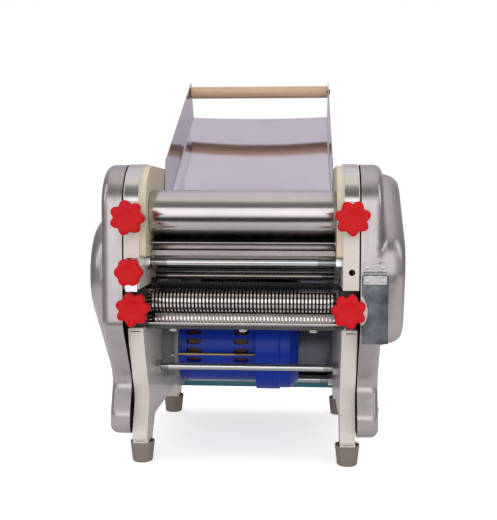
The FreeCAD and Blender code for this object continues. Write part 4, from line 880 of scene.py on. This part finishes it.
def tray():
    """The tray's bent sheet; its floor sinks a little between the sides, from its lower part on."""
    half, sheet, length, high, bend = 119.4, 1.0, 397.0, 66.0, 3.0
    sag, sag_start, sag_run = 3.2, 50, 130
    turns = [math.radians(90) * step / 6 for step in range(7)]
    floor = [(half - bend) * (step / 12 - 1) for step in range(1, 12)]

    def section(along, inset):
        """From one side's top edge down, over the floor and up the other side, inset from the outside."""
        top = max(bend + 0.2, float(np.interp(along, (0, 15, 57, 84, length), (2, 2, 34, high, high))))
        radius = bend - inset
        line = [(inset - half, top)]
        line += [(bend - half - radius * math.cos(turn), bend - radius * math.sin(turn)) for turn in turns]
        line += [(x, inset) for x in floor]
        return line + [(0, inset)] + [(-x, height) for x, height in reversed(line)]

    def sunk(x, along):
        t = min(max((along - sag_start) / sag_run, 0), 1)
        return sag * (1 - (x / half) ** 2) * t * t * (3 - 2 * t)

    points, rings = [], []
    for along in np.linspace(0, length, 80):
        ring = section(along, 0) + section(along, sheet)[::-1]
        rings.append(list(range(len(points), len(points) + len(ring))))
        points += [at(x, *on_tray(along, height - sunk(x, along))) for x, height in ring]
    count = len(rings[0])
    faces = ring_faces(rings, count)
    for ring in (rings[0], rings[-1]):
        faces += [(ring[step], ring[step + 1], ring[count - 2 - step], ring[count - 1 - step])
                  for step in range(count // 2 - 1)]
    Shape().add(points, faces).piece("tray_shape", "machine", "polished_sheet", ["tray"])


def wooden_roller():
    """The roller, bored for its axle bolts, with slightly rounded ends."""
    reach, radius, bore, round_off = 117.7, 10, 2.6, 1
    end = reach - round_off
    profile = [(bore, -reach), (radius - 0.8, -reach)]
    profile += [(radius, -end + 2 * end * t / 12) for t in range(13)]
    profile += [(radius - 0.8, reach), (bore, reach), (bore, -reach)]
    shape = Shape().add(*revolved(profile, 64), along_x(*WOOD))
    shape.piece("wooden_roller_shape", "wooden_roller_unit", "wood", ["wooden_roller"])


def tray_screws():
    """The wooden roller's axle bolts, and the screws that hold the tray to the guards."""
    shape = Shape()
    shank = revolved([(0, 0), (2.4, 0), (2.4, 30), (0, 30)], 32)
    for side in (1, -1):
        shape.add(*pan_head(5, 3.0), facing(at(side * 119.4, *WOOD), (side, 0, 0), 0.5))
        shape.add(*shank, facing(at(side * 119.45, *WOOD), (-side, 0, 0)))
        for y, z in ((155.6, 360.4), (178, 361)):
            shape.add(*pan_head(3.2, 1.8), facing(at(side * 118.4, y, z), (-side, 0, 0), y))
    shape.piece("tray_screws_shape", "machine", "zinc", ["tray_screws"], look="black_steel")


tray()
wooden_roller()
tray_screws()

# ---------------------------------------------------------------- motor


def turned(profile, rounding, count):
    """A part turned about the motor's axis, from (radius, x) pairs."""
    return Shape().add(*revolved(softened(profile, rounding), count), along_x(*MOTOR))


def motor_parts():
    """The end bell, the bracket's ring and the through bolts with their nuts."""
    bell = [(51, 10), (68, 10), (68, 44), (66, 45.5), (66, 60), (54, 72), (10, 72), (10, 58), (7.05, 58),
            (7.05, 54), (16, 54), (16, 64), (52, 64), (62, 56), (62, 14), (51, 14), (51, 10)]
    turned(bell, 1.2, 128).piece("motor_end_bell_shape", "machine", "motor_blue", ["motor_end_bell"])
    bracket = [(40, -128), (46, -128), (46, -107), (64, -107), (64, -101), (7.05, -101), (7.05, -114),
               (16, -114), (16, -107), (40, -107), (40, -128)]
    turned(bracket, 0.8, 96).piece("motor_bracket_shape", "machine", "motor_grey", ["motor_bracket"])
    bolt = [(0, -101), (2.0, -101), (2.0, -20)] + thread(2.2, -20, 8, 0.8) + [(1.6, 9), (1.6, 10), (0, 10)]
    bolts, nuts = Shape(), Shape()
    for angle in (187, 67, 307):
        y = MOTOR[0] + 60.5 * math.cos(math.radians(angle))
        z = MOTOR[1] + 60.5 * math.sin(math.radians(angle))
        bolts.add(*revolved(bolt, 28), along_x(y, z))
        nuts.add(*nut(7, 4, 0.6), facing(at(-111, y, z), (1, 0, 0), angle))
    bolts.piece("motor_through_bolts_shape", "machine", "brass_bolt", ["motor_through_bolts"])
    nuts.piece("motor_bolt_nuts_shape", "machine", "brass_bolt", look="zinc")


motor_parts()

# ---------------------------------------------------------------- stage and light


def stage():
    """A white floor, which reflections see dark from some 0.35 m in front of the machine."""
    bpy.ops.mesh.primitive_circle_add(vertices=128, radius=1.12, fill_type="NGON", location=(0, 0.1, 0))
    floor = bpy.context.object
    floor.name = "floor"
    pale = Nodes("floor")
    length = pale.new("VectorMath")
    length.operation = "LENGTH"
    pale.link(pale.place, length.inputs[0])
    seen = pale.new("LightPath").outputs["Is Camera Ray"]
    white = pale.mix(pale.noise(1.2, detail=2), (0.93, 0.93, 0.94), (0.95, 0.95, 0.95))
    near = pale.spread(pale.split(pale.place)["Y"], -0.66, -0.60)
    tone = pale.mix(seen, pale.mix(near, (0.03, 0.03, 0.03), (0.75, 0.73, 0.73)), white)
    pale.link(tone, pale.shader.inputs["Base Color"])
    pale.link(tone, pale.shader.inputs["Emission Color"])
    # the floor glows, less so near the machine, where its shadow lies
    glow = pale.mix(seen, (0.35, 0.35, 0.35), (1, 1, 1))
    shade = pale.spread(length.outputs["Value"], 0.25, 0.62, 0.62, 1.0)
    pale.link(pale.maths("MULTIPLY", glow, shade), pale.shader.inputs["Emission Strength"])
    pale.shader.inputs["Roughness"].default_value = 0.8
    pale.shader.inputs["Specular IOR Level"].default_value = 0.1
    floor.data.materials.append(pale.material)


def softbox(name, place, target, width, height, power, mirrored=True):
    """An area light that faces a target; polished parts show it unless mirrored is off."""
    light = bpy.data.lights.new(name, "AREA")
    light.shape = "RECTANGLE"
    light.size, light.size_y = width, height
    light.energy = power
    lamp = bpy.data.objects.new(name, light)
    bpy.context.scene.collection.objects.link(lamp)
    lamp.location = place
    lamp.visible_glossy = mirrored
    lamp.rotation_euler = (Vector(target) - Vector(place)).to_track_quat("-Z", "Y").to_euler()


def world():
    """A studio: white all round for the camera, and light panels with dark gaps for whatever is reflected."""
    sky = bpy.data.worlds.new("world")
    bpy.context.scene.world = sky
    sky.use_nodes = True
    nodes = Tree(sky.node_tree)
    toward = nodes.split(nodes.new("TexCoord").outputs["Generated"])
    height = nodes.spread(toward["Z"], -1, 1)
    front = nodes.ramp(height, [
        (0.0, (0.04, 0.036, 0.038)), (0.325, (0.05, 0.045, 0.047)), (0.355, (0.90, 0.86, 0.86)),
        (0.42, (1.60, 1.52, 1.53)), (0.50, (1.85, 1.79, 1.80)), (0.62, (1.85, 1.80, 1.81)),
        (0.705, (1.50, 1.45, 1.46)), (0.73, (0.25, 0.24, 0.235)), (0.80, (0.20, 0.198, 0.193)),
        (0.87, (0.30, 0.295, 0.285)), (0.915, (0.50, 0.48, 0.46)), (0.945, (1.0, 0.95, 0.90)),
        (1.0, (1.04, 0.99, 0.93))])
    back = nodes.ramp(height, [
        (0.0, (0.05, 0.045, 0.045)), (0.5, (0.40, 0.37, 0.40)), (0.62, (0.60, 0.57, 0.62)),
        (0.87, (0.72, 0.68, 0.74)), (0.925, (0.95, 0.90, 0.97)), (1.0, (1.0, 0.95, 1.02))])
    around = nodes.mix(nodes.spread(toward["Y"], -0.15, 0.15), front, back)
    sideways = nodes.spread(nodes.maths("ABSOLUTE", toward["X"]), 0.45, 0.85)
    around = nodes.mix(sideways, around, (0.32, 0.305, 0.31))
    seen = nodes.new("LightPath").outputs["Is Camera Ray"]
    background = nodes.tree.nodes["Background"]
    nodes.link(nodes.mix(seen, around, (1.0, 1.0, 1.0)), background.inputs["Color"])
    background.inputs["Strength"].default_value = 1.0


stage()
world()
softbox("front", (0.15, -2.0, 1.25), (0, 0, 0.28), 2.6, 0.9, 7, False)
softbox("left", (-1.9, -0.9, 1.3), (0, 0, 0.25), 0.5, 1.5, 5)
softbox("right", (1.9, -0.8, 1.2), (0, 0, 0.25), 0.5, 1.5, 5)
softbox("top", (0.0, -0.1, 2.3), (0, 0, 0.2), 1.6, 1.4, 6, False)
